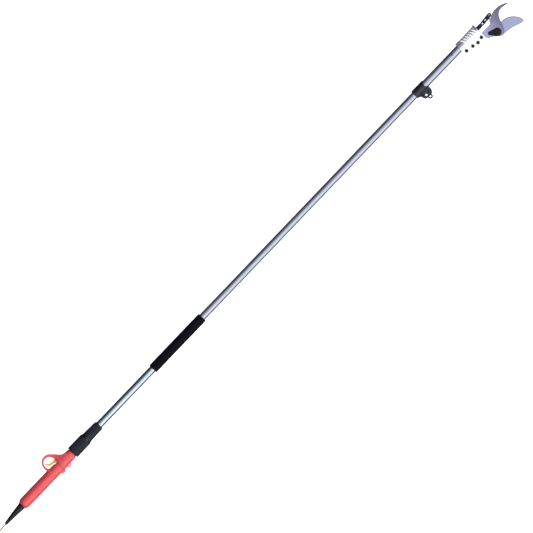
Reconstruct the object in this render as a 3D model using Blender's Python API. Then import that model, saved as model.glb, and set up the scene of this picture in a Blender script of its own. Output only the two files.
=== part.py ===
"""Battery pole pruner, lying flat with its pole along X: handle at -X, blades at +X.

Every piece is its own object, in metres, +Z up. The pieces hang on the empty "shaft_axis", whose
X axis is the axis of the pole: X counts from the middle of the tool, Y points to the side of the
finger guard, and Z up. The world's origin is on the floor, under the middle of the tool's box.
"""

import math

import bmesh
import bpy
from mathutils import Vector

MM = 0.001
GAP = 0.3 * MM

# Lengths along the pole, from the tip of the cord boot to the tip of the hook
RELIEF_LENGTH = 87.5 * MM
HANDLE_LENGTH = 253.8 * MM
COLLAR_GAP = 0.7 * MM
COLLAR_LENGTH = 135.0 * MM
LOWER_TUBE_LENGTH = 271.0 * MM
FOAM_LENGTH = 250.0 * MM
UPPER_TUBE_LENGTH = 1075.7 * MM
CLAMP_LENGTH = 56.0 * MM
MOTOR_TUBE_LENGTH = 170.0 * MM
HOUSING_LENGTH = 93.1 * MM
HOOK_REACH = 140.4 * MM
TOTAL_LENGTH = sum((
    RELIEF_LENGTH, HANDLE_LENGTH, COLLAR_GAP, COLLAR_LENGTH, LOWER_TUBE_LENGTH, FOAM_LENGTH,
    UPPER_TUBE_LENGTH, CLAMP_LENGTH, MOTOR_TUBE_LENGTH, HOUSING_LENGTH, HOOK_REACH,
))

# Radii of the round pieces
HANDLE_RADIUS = 20.7 * MM
COLLAR_RADIUS = 23.1 * MM
POLE_RADIUS = 13.1 * MM
POLE_WALL = 1.5 * MM
FOAM_RADIUS = 17.85 * MM
CLAMP_RADIUS = 17.15 * MM
MOTOR_TUBE_RADIUS = 14.2 * MM
MOTOR_TUBE_WALL = 2.0 * MM
DRIVE_RADIUS = 11.9 * MM
LEAD_RADIUS = 3.0 * MM
CORD_DIAMETER = 5.0 * MM

# Sideways reach of the finger guard and of the open blade, and the height of the axis
GUARD_REACH = 63.0 * MM
BLADE_REACH = 97.0 * MM
AXIS_Y = (BLADE_REACH - GUARD_REACH) / 2
AXIS_Z = COLLAR_RADIUS

# Stations along X
RELIEF_X = -TOTAL_LENGTH / 2
HANDLE_X = RELIEF_X + RELIEF_LENGTH
NOSE_X = HANDLE_X + HANDLE_LENGTH
COLLAR_X = NOSE_X + COLLAR_GAP
FOAM_X = COLLAR_X + COLLAR_LENGTH + LOWER_TUBE_LENGTH
CLAMP_X = FOAM_X + FOAM_LENGTH + UPPER_TUBE_LENGTH
HOUSING_X = CLAMP_X + CLAMP_LENGTH + MOTOR_TUBE_LENGTH
FRONT_X = HOUSING_X + HOUSING_LENGTH

# Telescoping: the pole's rear end stands this far inside the handle
POLE_INSERT = 52.5 * MM
POLE_JOINT_X = CLAMP_X + 40.0 * MM

# Trigger pivot, from the handle's nose
TRIGGER_X = NOSE_X - 54.6 * MM
TRIGGER_Y = 25.9 * MM

# Blade pivot, the pin of the pull bar and the pin of the lever
PIVOT_X = FRONT_X + 41.3 * MM
PIVOT_Y = -56.0 * MM
BAR_PIN_X = FRONT_X + 25.55 * MM
BAR_PIN_Y = 1.75 * MM
LINK_PIN_X = FRONT_X + 64.05 * MM
LINK_PIN_Y = 5.25 * MM

# Levels above the axis: moving blade, fixed blade, lock plate
BLADE_HALF = 1.8 * MM
HOOK_LOW = BLADE_HALF + GAP
HOOK_HIGH = 7.1 * MM
PLATE_LOW = HOOK_HIGH + GAP
PLATE_HIGH = 9.9 * MM

# Ball screw and nut, from the housing's rear
SCREW_REAR = -38.7 * MM
SCREW_END = 53.2 * MM
SCREW_RADIUS = 4.0 * MM
NUT_LENGTH = 17.5 * MM
NUT_RADIUS = 9.5 * MM

# Cooling ribs of the casting: their number, pitch in mm, width and lean along X for each mm in Y
RIBS = 7
RIB_PITCH = 10.5
RIB_WIDTH = 6.2 * MM
RIB_SLANT = 0.52

# Battery lead: coil of what isn't used, on the floor behind the handle
COIL_X = RELIEF_X - 78.0 * MM
COIL_Y = 29.1 * MM
COIL_MID_RADIUS = 29.0 * MM
COIL_STEP = 5.2 * MM
COIL_OUTER = 36.9 * MM
COIL_INNER = 21.1 * MM
COIL_HEIGHT = 15.4 * MM
RELIEF_TIP_Y = -3.15 * MM
FLOOR = -AXIS_Z
PLUG_RADIUS = 8.0 * MM
PLUG_LENGTH = 45.0 * MM
TAIL_LENGTH = 12.0 * MM

HIGH_SIDES = 40
SIDES = 32
LOW_SIDES = 16


# ---------------------------------------------------------------- tools

def clear_scene():
    for obj in list(bpy.data.objects):
        bpy.data.objects.remove(obj, do_unlink=True)


def material(name, color, roughness, metallic=0.0):
    mat = bpy.data.materials.new(name)
    mat.use_nodes = True
    shader = mat.node_tree.nodes["Principled BSDF"]
    shader.inputs["Base Color"].default_value = (*color, 1.0)
    shader.inputs["Roughness"].default_value = roughness
    shader.inputs["Metallic"].default_value = metallic
    return mat


def in_mm(points):
    """Points given in millimetres, as tuples in metres."""
    return [tuple(value * MM for value in point) for point in points]


def smooth_run(points, steps=4):
    """Points of the Catmull-Rom curve through the given points, both ends included."""
    known = [Vector(point) for point in points]
    known = [2 * known[0] - known[1], *known, 2 * known[-1] - known[-2]]
    run = []
    for a, b, c, d in zip(known, known[1:], known[2:], known[3:]):
        for step in range(steps):
            t = step / steps
            bend = (2 * a - 5 * b + 4 * c - d) * t ** 2 + (3 * b - a - 3 * c + d) * t ** 3
            run.append(tuple((2 * b + (c - a) * t + bend) / 2))
    run.append(tuple(known[-2]))
    return run


def arc(centre, radius, start, end, steps):
    """Points on an arc, from the angle start to end in degrees."""
    angles = [math.radians(start + (end - start) * step / steps) for step in range(steps + 1)]
    return [(centre[0] + radius * math.cos(a), centre[1] + radius * math.sin(a)) for a in angles]


def circle(centre, radius, sides):
    return arc(centre, radius, 0, 360, sides)[:-1]


def capsule(first, first_radius, second, second_radius, steps=10):
    """Outline around two circles: two arcs and the straight lines that touch both."""
    span = Vector(second) - Vector(first)
    lean = math.degrees(math.asin((first_radius - second_radius) / span.length))
    turn = math.degrees(math.atan2(span.y, span.x))
    rear = arc(first, first_radius, turn + 90 - lean, turn + 270 + lean, steps)
    front = arc(second, second_radius, turn - 90 + lean, turn + 90 - lean, steps)
    return rear + front


def finish(bm):
    bmesh.ops.remove_doubles(bm, verts=bm.verts, dist=1e-6)
    bmesh.ops.recalc_face_normals(bm, faces=bm.faces)
    return bm


def turned(profile, sides, ring=False):
    """A body turned about X from (x, radius) points; a ring's profile closes on itself."""
    bm = bmesh.new()
    verts = [bm.verts.new((x, 0.0, radius)) for x, radius in profile]
    pairs = list(zip(verts, verts[1:]))
    if ring:
        pairs.append((verts[-1], verts[0]))
    edges = [bm.edges.new(pair) for pair in pairs]
    bmesh.ops.spin(
        bm, geom=verts + edges, cent=(0, 0, 0), axis=(1, 0, 0),
        angle=2 * math.pi, steps=sides, use_merge=True,
    )
    return finish(bm)


def prism(outline, low, high):
    """An outline in the XY plane, raised from the level low to high."""
    bm = bmesh.new()
    face = bm.faces.new([bm.verts.new((x, y, low)) for x, y in outline])
    grown = bmesh.ops.extrude_face_region(bm, geom=[face])["geom"]
    raised = [item for item in grown if isinstance(item, bmesh.types.BMVert)]
    bmesh.ops.translate(bm, verts=raised, vec=(0, 0, high - low))
    return finish(bm)


def bar_along_x(section, start, end):
    """A (y, z) section drawn out along X."""
    bm = bmesh.new()
    face = bm.faces.new([bm.verts.new((start, y, z)) for y, z in section])
    grown = bmesh.ops.extrude_face_region(bm, geom=[face])["geom"]
    moved = [item for item in grown if isinstance(item, bmesh.types.BMVert)]
    bmesh.ops.translate(bm, verts=moved, vec=(end - start, 0, 0))
    return finish(bm)


def block(low, high):
    """A box between two corners, in metres."""
    bm = bmesh.new()
    bmesh.ops.create_cube(bm, size=1.0)
    for vert in bm.verts:
        for axis in range(3):
            share = vert.co[axis] + 0.5
            vert.co[axis] = low[axis] + (high[axis] - low[axis]) * share
    return finish(bm)


def rod(centre, radius, low, high, sides=LOW_SIDES):
    """An upright round rod."""
    return prism(circle(centre, radius, sides), low, high)


def add(name, bm, mat, at=(0, 0, 0), turn=0.0):
    """The object of a mesh, placed on the shaft axis and turned about Z by degrees."""
    mesh = bpy.data.meshes.new(name)
    bm.to_mesh(mesh)
    bm.free()
    mesh.materials.append(mat)
    mesh.shade_smooth()
    mesh.set_sharp_from_angle(angle=math.radians(35))
    obj = bpy.data.objects.new(name, mesh)
    bpy.context.scene.collection.objects.link(obj)
    obj.parent = bpy.data.objects["shaft_axis"]
    obj.location = at
    obj.rotation_euler = (0, 0, math.radians(turn))
    return obj


def tool(name, bm, at=(0, 0, 0)):
    """A body that only cuts or joins another; it isn't a piece."""
    obj = add(name, bm, MATERIALS["tool"], at)
    obj.hide_render = True
    obj.display_type = "WIRE"
    return obj


def combine(obj, other, operation):
    mod = obj.modifiers.new(other.name, "BOOLEAN")
    mod.operation = operation
    mod.object = other
    mod.solver = "EXACT"


def cut(obj, *others):
    for other in others:
        combine(obj, other, "DIFFERENCE")


def join(obj, *others):
    for other in others:
        combine(obj, other, "UNION")


# ---------------------------------------------------------------- handle

def handle_outer():
    """Turned outer form, from the rear shoulder to the nose."""
    end = HANDLE_LENGTH
    rear = in_mm([(0, 14.2), (1.5, 16.0), (4, 18.0), (8, 19.8), (14, 20.7)])
    nose = [
        (end - 70 * MM, HANDLE_RADIUS), (end - 22 * MM, 19.6 * MM), (end - 5 * MM, 19.2 * MM),
        (end - 1.5 * MM, 18.6 * MM), (end, 17.9 * MM),
    ]
    return turned([(0, 0), *rear, *nose, (end, 0)], HIGH_SIDES)


def guard_outline():
    """Outer line of the finger guard, from the handle's nose side."""
    outer = smooth_run(in_mm([
        (-107.0, 20), (-108.4, 34), (-104.5, 47.5), (-95.5, 58.5), (-84, 62.9), (-73.5, 62.6),
        (-63, 58.5), (-52.5, 48.6), (-42, 36.5), (-35, 28), (-27, 22.3), (-15, 20),
    ]), 3)
    return [*outer, (-15 * MM, 8 * MM), (-107 * MM, 8 * MM)]


def finger_opening_outline():
    """Inner line of the guard, with the notch where the trigger enters the handle."""
    loop = smooth_run(in_mm([
        (-99.5, 23.4), (-101.7, 31), (-99.9, 41.6), (-94.5, 49.9), (-85.8, 54.3),
        (-75.3, 53), (-66.3, 48), (-60.8, 39), (-58.8, 30),
    ]), 3)
    return [*loop, *in_mm([(-58.8, 17.2), (-71.5, 17.2), (-74, 19.8), (-95, 19.8)])]


def handle_tools():
    """Everything that both halves of the handle are joined with or cut by."""
    nose = (NOSE_X, 0, 0)
    bump = smooth_run(in_mm([
        (-79, -15), (-76.5, -22.5), (-71.5, -26.8), (-67, -27.7), (-62, -25.5), (-57, -19.5),
        (-55, -15),
    ]), 2)
    ring = in_mm([(-69, 19.5), (-67, 21.7), (-65, 22.1), (-61, 22.1), (-59, 21.7), (-57, 19.5)])
    ring_inner = in_mm([(-57, 17), (-69, 17)])
    bore_end = HANDLE_LENGTH - 9 * MM
    cavity = [
        (13 * MM, 0), (13 * MM, 16 * MM), (18 * MM, 18.2 * MM), (bore_end, 18.2 * MM),
        (bore_end, 16.7 * MM), (HANDLE_LENGTH + 5 * MM, 16.7 * MM), (HANDLE_LENGTH + 5 * MM, 0),
    ]
    joined = [
        tool("guard_form", prism(guard_outline(), -8 * MM, 8 * MM), nose),
        tool("stop_ring_form", turned(ring + ring_inner, HIGH_SIDES, ring=True), nose),
        tool("stop_bump_form", prism(bump, -9 * MM, 9 * MM), nose),
        tool("eyelet_form", rod((-38.5 * MM, -22.05 * MM), 7 * MM, -3.5 * MM, 3.5 * MM, 20), nose),
    ]
    removed = [
        tool("handle_cavity", turned(cavity, HIGH_SIDES), (HANDLE_X, 0, 0)),
        tool("boot_bore", turned(in_mm([(-5, 0), (-5, 7.8), (20, 7.8), (20, 0)]), LOW_SIDES),
             (HANDLE_X, 0, 0)),
        tool("finger_opening", prism(finger_opening_outline(), -13 * MM, 13 * MM), nose),
        tool("trigger_slot", block(*in_mm([(-70.5, 15.0, -6.9), (-57.5, 28, 6.9)])),
             nose),
        tool("root_slot", block(*in_mm([(-60, 15.0, -4.4), (-46, 34.5, 4.4)])), nose),
        tool("trigger_pin_hole", rod((TRIGGER_X, TRIGGER_Y), 1.8 * MM, -7.5 * MM, 7.5 * MM)),
        tool("eyelet_hole", rod((-38.5 * MM, -22.05 * MM), 3.5 * MM, -9 * MM, 9 * MM), nose),
    ]
    return joined, removed


def screw_places():
    """Name, x, y and lowest level of the handle's three screw heads."""
    rear = HANDLE_X + 7 * MM
    return [
        ("handle_screw_rear_left", rear, 12.5 * MM, -12.5 * MM),
        ("handle_screw_rear_right", rear, -12.5 * MM, -12.5 * MM),
        ("handle_screw_guard", NOSE_X - 55 * MM, 42.5 * MM, -7.6 * MM),
    ]


def make_handle():
    joined, removed = handle_tools()
    halves = {"handle_shell_upper": 1, "handle_shell_lower": -1}
    for name, side in halves.items():
        shell = add(name, handle_outer(), MATERIALS["red"], (HANDLE_X, 0, 0))
        join(shell, *joined)
        cut(shell, *removed)
        low, high = sorted((side * GAP / 2, -side * 60 * MM))
        other = block((-10 * MM, -60 * MM, low), (HANDLE_LENGTH + 10 * MM, 90 * MM, high))
        cut(shell, tool(name + "_other_half", other, (HANDLE_X, 0, 0)))
        for screw, x, y, head_low in screw_places():
            hole = turned_upright([(head_low - 30 * MM, 3.1 * MM), (head_low + 2.3 * MM, 3.1 * MM),
                                   (head_low + 2.3 * MM, 1.8 * MM), (6 * MM, 1.8 * MM)])
            cut(shell, tool(f"{name}_{screw}_hole", hole, (x, y, 0)))
    for screw, x, y, head_low in screw_places():
        form = turned_upright([(head_low, 2.8 * MM), (head_low + 2 * MM, 2.8 * MM),
                               (head_low + 2 * MM, 1.5 * MM), (5.7 * MM, 1.5 * MM)])
        add(screw, form, MATERIALS["dark_steel"], (x, y, 0))


def turned_upright(profile, sides=LOW_SIDES):
    """A body turned about Z from (z, radius) points; it is closed at both ends."""
    start, end = profile[0][0], profile[-1][0]
    bm = turned([(start, 0), *profile, (end, 0)], sides)
    for vert in bm.verts:
        vert.co = Vector((vert.co.z, vert.co.y, vert.co.x))
    return finish(bm)


def make_strain_relief():
    """Tapered boot with a flared root; its neck and flange sit inside the handle."""
    length = RELIEF_LENGTH - GAP
    taper = [(0, 0), (0, 5.2 * MM), (0.6 * MM, 5.75 * MM), (40 * MM, 9.2 * MM), (76 * MM, 12 * MM)]
    flare = [(81 * MM, 12.7 * MM), (84.5 * MM, 13.7 * MM), (length, 14.3 * MM)]
    neck = [(length, 7.5 * MM), (length + 14 * MM, 7.5 * MM), (length + 14 * MM, 11 * MM),
            (length + 17 * MM, 11 * MM), (length + 17 * MM, 0)]
    bm = turned(taper + flare + neck, SIDES)
    for vert in bm.verts:
        share = max(0.0, 1 - vert.co.x / length)
        vert.co.y += RELIEF_TIP_Y * share ** 2
    add("strain_relief", bm, MATERIALS["rubber"], (RELIEF_X, 0, 0))


def make_handle_inside():
    board = (HANDLE_X + 24 * MM, 0, -9 * MM)
    add("control_board", block(*in_mm([(0, -14, -0.8), (50, 14, 0.8)])),
        MATERIALS["board"], board)
    for index, (start, width, height) in enumerate(((6, 9, 8), (22, 12, 5))):
        part = block((start * MM, -width * MM, 0.4 * MM), ((start + 10) * MM, width * MM, height * MM))
        join(bpy.data.objects["control_board"], tool(f"board_part_{index}", part, board))
    add("cord_clamp", block(*in_mm([(36, -9, -7.6), (46, 9, -4)])),
        MATERIALS["black_plastic"], (HANDLE_X, 0, 12 * MM))
    add("trigger_switch", block(*in_mm([(-103, 13.9, -5), (-83, 17.1, 5)])),
        MATERIALS["black_plastic"], (NOSE_X, 0, 0))
    pin = rod((0, 0), 1.5 * MM, -7.2 * MM, 7.2 * MM, 12)
    add("trigger_pin", pin, MATERIALS["dark_steel"], (TRIGGER_X, TRIGGER_Y, 0))
    spring = turned(in_mm([(-1.4, 1.9), (-1.4, 3.2), (1.4, 3.2), (1.4, 1.9)]), LOW_SIDES, ring=True)
    for vert in spring.verts:
        vert.co = Vector((vert.co.z, vert.co.y, vert.co.x))
    add("trigger_spring", finish(spring), MATERIALS["dark_steel"], (TRIGGER_X, TRIGGER_Y, 0))


def make_lock_neck():
    """Threaded neck in the nose, and the split collet in front of it."""
    neck = turned(in_mm([
        (-12.6, 13.5), (-12.6, 17.9), (-9.4, 17.9), (-9.4, 16.4), (57, 16.4), (58, 15.6), (58, 13.5),
    ]), SIDES, ring=True)
    add("lock_neck", neck, MATERIALS["black_plastic"], (NOSE_X, 0, 0))
    collet = turned(in_mm([(59, 13.5), (59, 15.5), (112, 15.5), (121, 14.1), (121, 13.5)]), SIDES,
                    ring=True)
    obj = add("lock_collet", collet, MATERIALS["white_plastic"], (NOSE_X, 0, 0))
    slit = block(*in_mm([(58, -1.5, 5), (122, 1.5, 20)]))
    cut(obj, tool("collet_slit", slit, (NOSE_X, 0, 0)))


def make_trigger():
    """Gold lever: a wide finger pad and a narrower root on the pin."""
    at = (TRIGGER_X, TRIGGER_Y, 0)
    top = smooth_run(in_mm([
        (-4.8, 5.8), (-13.7, 4.3), (-22.4, 4.6), (-29.4, 6.9), (-35.7, 11.4), (-40.3, 17.4),
    ]), 2)
    under = smooth_run(in_mm([
        (-42.4, 16.0), (-41.2, 11.0), (-36.8, 3.4), (-31.2, -0.6), (-22.4, -2.6), (-15.4, -4.4),
        (-11.2, -7.2), (-4.8, -9.4),
    ]), 2)
    pad = add("trigger", prism(top + under, -6.5 * MM, 6.5 * MM), MATERIALS["gold"], at)
    root = in_mm([(-10, 5.2), (-10, -3.5), (-5, -6.5), (0, -6)])
    root += arc((0, 0), 5.4 * MM, -60, 90, 6)
    join(pad, tool("trigger_root", prism(root, -4 * MM, 4 * MM), at))
    cut(pad, tool("trigger_bore", rod((0, 0), 1.8 * MM, -9 * MM, 9 * MM), at))
    gap = block(*in_mm([(-4.4, -9, -1.8), (7, 9, 1.8)]))
    cut(pad, tool("trigger_spring_gap", gap, at))


# ---------------------------------------------------------------- collar

def make_collar():
    outer = in_mm([
        (0, 22.0), (1.5, 23.1), (62, 23.1), (67, 22.0), (73, 19.4), (76, 19.1), (128, 17.6),
        (133, 16.6), (135, 14.8),
    ])
    inner = in_mm([
        (135, 13.6), (133.2, 13.6), (133.2, 15.3), (129.5, 15.3), (129.5, 13.8), (126, 13.8),
        (117, 16.1), (62, 16.1), (60, 17.0), (0, 17.0),
    ])
    bm = turned(outer + inner, 48, ring=True)
    for vert in bm.verts:
        grip = 1 * MM < vert.co.x < 63 * MM and math.hypot(vert.co.y, vert.co.z) > 20 * MM
        place = round(math.degrees(math.atan2(vert.co.y, vert.co.z)) / 7.5)
        if grip and place % 2:
            vert.co.y *= 0.965
            vert.co.z *= 0.965
    add("lock_collar", bm, MATERIALS["black_plastic"], (COLLAR_X, 0, 0))
    seal = turned(in_mm([(129.8, 13.6), (129.8, 15.0), (132.9, 15.0), (132.9, 13.6)]), SIDES,
                  ring=True)
    add("collar_seal", seal, MATERIALS["rubber"], (COLLAR_X, 0, 0))


# ---------------------------------------------------------------- pole

def tube(start, end, outer, inner, sides=SIDES):
    return turned([(start, inner), (start, outer), (end, outer), (end, inner)], sides, ring=True)


def make_pole():
    rear = NOSE_X - POLE_INSERT
    inside = POLE_RADIUS - POLE_WALL
    add("pole_tube", tube(rear, POLE_JOINT_X, POLE_RADIUS, inside), MATERIALS["aluminium"])
    add("pole_end_bush", tube(rear + 1 * MM, rear + 19 * MM, inside - GAP, LEAD_RADIUS + GAP),
        MATERIALS["black_plastic"])
    foam = [
        (0, POLE_RADIUS + GAP), (0, FOAM_RADIUS - 2 * MM), (0.7 * MM, FOAM_RADIUS - 0.7 * MM),
        (2 * MM, FOAM_RADIUS), (FOAM_LENGTH - 2 * MM, FOAM_RADIUS),
        (FOAM_LENGTH - 0.7 * MM, FOAM_RADIUS - 0.7 * MM), (FOAM_LENGTH, FOAM_RADIUS - 2 * MM),
        (FOAM_LENGTH, POLE_RADIUS + GAP),
    ]
    add("foam_grip", turned(foam, SIDES, ring=True), MATERIALS["foam"], (FOAM_X, 0, 0))
    motor_rear = CLAMP_X + 70 * MM
    lead = turned([(rear - 6 * MM, 0), (rear - 6 * MM, LEAD_RADIUS),
                   (motor_rear - GAP, LEAD_RADIUS), (motor_rear - GAP, 0)], 12)
    add("inner_lead", lead, MATERIALS["rubber"])


def ear_outline():
    left = smooth_run(in_mm([(4, -12), (7.5, -17.5), (11.5, -21), (13.2, -28), (17, -36), (24, -40)]), 2)
    right = smooth_run(in_mm([(42, -40), (50, -37.3), (54.5, -31), (56.8, -22.8), (56, -12)]), 2)
    return left + right


def make_clamp():
    """Split clamp: a C-shaped ring with two ears and a hole through both."""
    at = (CLAMP_X, 0, 0)
    ring = in_mm([
        (0, 13.5), (0, 16.2), (1.2, 17.15), (56, 17.15), (56, 14.5), (40.3, 14.5), (40.3, 13.5),
    ])
    clamp = add("pole_clamp", turned(ring, SIDES, ring=True), MATERIALS["black_plastic"], at)
    join(clamp, tool("clamp_ears", prism(ear_outline(), -8 * MM, 8 * MM), at))
    bore = turned(in_mm([(-2, 0), (-2, 13.5), (40.3, 13.5), (40.3, 14.5), (60, 14.5), (60, 0)]), SIDES)
    slit = block(*in_mm([(-2, -60, -2.8), (62, -12, 2.8)]))
    scallop = rod((67 * MM, 0), 19 * MM, -20 * MM, 20 * MM, HIGH_SIDES)
    window = tool("clamp_window", block(*in_mm([(40, -11, -30), (70, 20, 30)])), at)
    front = tool("clamp_scallop", scallop, at)
    combine(front, window, "INTERSECT")
    cut(clamp, tool("clamp_bore", bore, at), tool("clamp_slit", slit, at), front)
    holes = {"lug_hole": (29.1, -29, 3.75), "hang_pin_hole": (44.1, -26.6, 2.3),
             "clamp_screw_hole": (19.6, -22.8, 2.5)}
    for name, (x, y, radius) in holes.items():
        hole = rod((x * MM, y * MM), radius * MM, -12 * MM, 12 * MM)
        cut(clamp, tool(name, hole, at))
    screw = turned_upright(in_mm([
        (-11.5, 2.2), (8.3, 2.2), (8.3, 4.2), (12.0, 4.2), (12.6, 3.6),
    ]))
    add("clamp_screw", screw, MATERIALS["dark_steel"], (CLAMP_X + 19.6 * MM, -22.8 * MM, 0))
    nut = rod((0, 0), 4.4 * MM, -12.0 * MM, -8.3 * MM, 6)
    nut_obj = add("clamp_nut", nut, MATERIALS["dark_steel"], (CLAMP_X + 19.6 * MM, -22.8 * MM, 0))
    nut_bore = tool("clamp_nut_bore", rod((0, 0), 2.5 * MM, -14 * MM, -6 * MM),
                    (CLAMP_X + 19.6 * MM, -22.8 * MM, 0))
    cut(nut_obj, nut_bore)
    pin = turned_upright(in_mm([(-9.4, 3.2), (-8.3, 3.2), (-8.3, 2.0), (8.3, 2.0), (8.3, 3.2), (9.4, 3.2)]))
    add("hang_pin", pin, MATERIALS["dark_steel"], (CLAMP_X + 44.1 * MM, -26.6 * MM, 0))


def make_hang_eye():
    """Tongue between the clamp's ears, with an oval eye; its origin is on the pin."""
    at = (CLAMP_X + 44.1 * MM, -26.6 * MM, 0)
    eye = (-8.4 * MM, -16.1 * MM)
    body = add("hang_eye", prism(capsule((0, 0), 5.5 * MM, eye, 8.8 * MM), -2.4 * MM, 2.4 * MM),
               MATERIALS["black_plastic"], at)
    oval = [(eye[0] + 0.84 * x + 0.28 * y, eye[1] - 0.4 * x + 0.6 * y)
            for x, y in circle((0, 0), 4.6 * MM, LOW_SIDES)]
    cut(body, tool("hang_eye_opening", prism(oval, -4 * MM, 4 * MM), at),
        tool("hang_eye_bore", rod((0, 0), 2.3 * MM, -4 * MM, 4 * MM), at))


def make_motor_tube():
    joint = POLE_JOINT_X
    tube_inside = MOTOR_TUBE_RADIUS - MOTOR_TUBE_WALL
    add("motor_tube", tube(joint + 0.6 * MM, HOUSING_X + 12 * MM, MOTOR_TUBE_RADIUS, tube_inside),
        MATERIALS["aluminium"])
    spigot = POLE_RADIUS - POLE_WALL - GAP
    coupler = turned([
        (joint - 30 * MM, LEAD_RADIUS + GAP), (joint - 30 * MM, spigot), (joint + 0.9 * MM, spigot),
        (joint + 0.9 * MM, DRIVE_RADIUS), (joint + 26 * MM, DRIVE_RADIUS),
        (joint + 26 * MM, LEAD_RADIUS + GAP),
    ], SIDES, ring=True)
    add("tube_coupler", coupler, MATERIALS["aluminium"])
    start = CLAMP_X + 70 * MM
    motor = turned([
        (start, 0), (start, 5 * MM), (start + 3 * MM, 5 * MM), (start + 3 * MM, DRIVE_RADIUS),
        (start + 74 * MM, DRIVE_RADIUS), (start + 74 * MM, 2 * MM), (start + 77 * MM, 2 * MM),
        (start + 77 * MM, 0),
    ], SIDES)
    add("drive_motor", motor, MATERIALS["steel"])
    gear = turned([
        (start + 77.4 * MM, 0), (start + 77.4 * MM, DRIVE_RADIUS), (start + 114 * MM, DRIVE_RADIUS),
        (start + 114 * MM, 6 * MM), (start + 117 * MM, 6 * MM), (start + 117 * MM, 0),
    ], SIDES)
    add("gearbox", gear, MATERIALS["steel"])
    bearing = tube(HOUSING_X - 37 * MM, HOUSING_X - 26.5 * MM, DRIVE_RADIUS, SCREW_RADIUS + 0.4 * MM)
    add("screw_bearing", bearing, MATERIALS["steel"])
    screw = turned_upright(in_mm([(12.4, 1.1), (14.5, 1.1), (14.5, 2.5), (15.5, 2.1)]), 12)
    screw_x, screw_y = HOUSING_X - 34.5 * MM, 2.5 * MM
    add("bearing_screw", screw, MATERIALS["dark_steel"], (screw_x, screw_y, 0))
    hole = tool("bearing_screw_hole", rod((screw_x, screw_y), 1.4 * MM, 10 * MM, 17 * MM, 12))
    cut(bpy.data.objects["motor_tube"], hole)


# ---------------------------------------------------------------- head

def housing_plan():
    """Outline of the casting from above, from its front face."""
    lower = smooth_run(in_mm([
        (-91, -18), (-87, -30), (-80, -34.6), (-70, -36.3), (-60, -38.5), (-46, -41), (-32, -42.7),
        (-18, -43.6), (-8, -46.3), (0, -49.6),
    ]), 2)
    upper = in_mm([(0, 22.6), (-5.2, 22.6), (-6, 20.3), (-72, 19.2), (-74.2, 20.6), (-93.1, 20.6)])
    return [(-93.1 * MM, -16 * MM), *lower, *upper]


def barrel_section(side, ribbed=False):
    """Section of one half across the barrel; the ribs stand out where its side falls away."""
    low = HOOK_LOW if side > 0 else -BLADE_HALF
    smooth = [(24, 5), (19, 8.5), (12.5, 14), (5.5, 18.6), (0, 20.3), (-6, 20.6)]
    square = [(24, 13), (20.3, 15.5), (18, 18.5), (12.5, 20.6), (5.5, 20.9), (-6, 20.9)]
    if side > 0:
        shape = (square if ribbed else smooth) + [(-11, 18), (-14.5, 13), (-17, 12), (-52, 12)]
    elif ribbed:
        shape = [(24, 13), (18, 20), (12.5, 23.1), (-8, 23.1), (-30, 21), (-50, 12)]
    else:
        shape = smooth + [(-36, 20.6), (-50, 12)]
    points = [(y * MM, side * z * MM) for y, z in shape]
    return [(24 * MM, side * low), *points, (-52 * MM, side * low)]


def rib_bars(side):
    """The slanting cooling ribs, as bars that run across the barrel."""
    bars = []
    for index in range(RIBS):
        x = (-77 + RIB_PITCH * index) * MM
        lean = RIB_SLANT * 36 * MM
        outline = [(x, 24 * MM), (x + RIB_WIDTH, 24 * MM), (x + RIB_WIDTH + lean, -12 * MM),
                   (x + lean, -12 * MM)]
        low, high = sorted((side * 4 * MM, side * 30 * MM))
        bars.append(prism(outline, low, high))
    return bars


HOUSING_SCREWS = in_mm([(-81.2, -24.5), (-53.9, -29), (-32.9, -33.3), (-11.2, -29.4)])


def make_housing():
    at = (FRONT_X, 0, 0)
    plan = housing_plan()
    plan_form = tool("housing_plan_form", prism(plan, -30 * MM, 30 * MM), at)
    socket = turned(in_mm([(-95, 0), (-95, 14.5), (-80.8, 14.5), (-80.8, 0)]), SIDES)
    nut_bore = turned(in_mm([(-82, 0), (-82, 10.3), (-34, 10.3), (-34, 0)]), SIDES)
    channel = block(*in_mm([(-82, -6.6, -8.2), (4, 10.2, 8.2)]))
    pocket = block((-66 * MM, -60 * MM, HOOK_LOW - 5 * MM), (4 * MM, -18.8 * MM, PLATE_LOW))
    shared = [tool("tube_socket", socket, at), tool("nut_bore", nut_bore, at),
              tool("bar_channel", channel, at)]
    for name, side in (("housing_upper", 1), ("housing_lower", -1)):
        body = add(name, bar_along_x(barrel_section(side), -93.1 * MM, 0), MATERIALS["casting"], at)
        ribbed = bar_along_x(barrel_section(side, ribbed=True), -89 * MM, -7 * MM)
        skin = tool(name + "_rib_skin", ribbed, at)
        for index, bar in enumerate(rib_bars(side)):
            rib = tool(f"{name}_rib_{index}", bar, at)
            combine(rib, skin, "INTERSECT")
            join(body, rib)
        combine(body, plan_form, "INTERSECT")
        cut(body, *shared)
        if side > 0:
            cut(body, tool("tail_pocket", pocket, at))
        for index, (x, y) in enumerate(HOUSING_SCREWS):
            if side < 0:
                foot = rod((x, y), 7 * MM, FLOOR, -18 * MM)
                join(body, tool(f"housing_foot_{index}", foot, at))
            hole = rod((x, y), 2.7 * MM, -15 * MM, 16 * MM)
            cut(body, tool(f"{name}_screw_hole_{index}", hole, at))
    for index, (x, y) in enumerate(HOUSING_SCREWS):
        screw = turned_upright(in_mm([(-14, 2.4), (12.3, 2.4), (12.3, 5.8), (16, 5.8), (16.8, 5.0)]), 20)
        add(f"housing_screw_{index + 1}", screw, MATERIALS["dark_steel"], (FRONT_X + x, y, 0))


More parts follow.
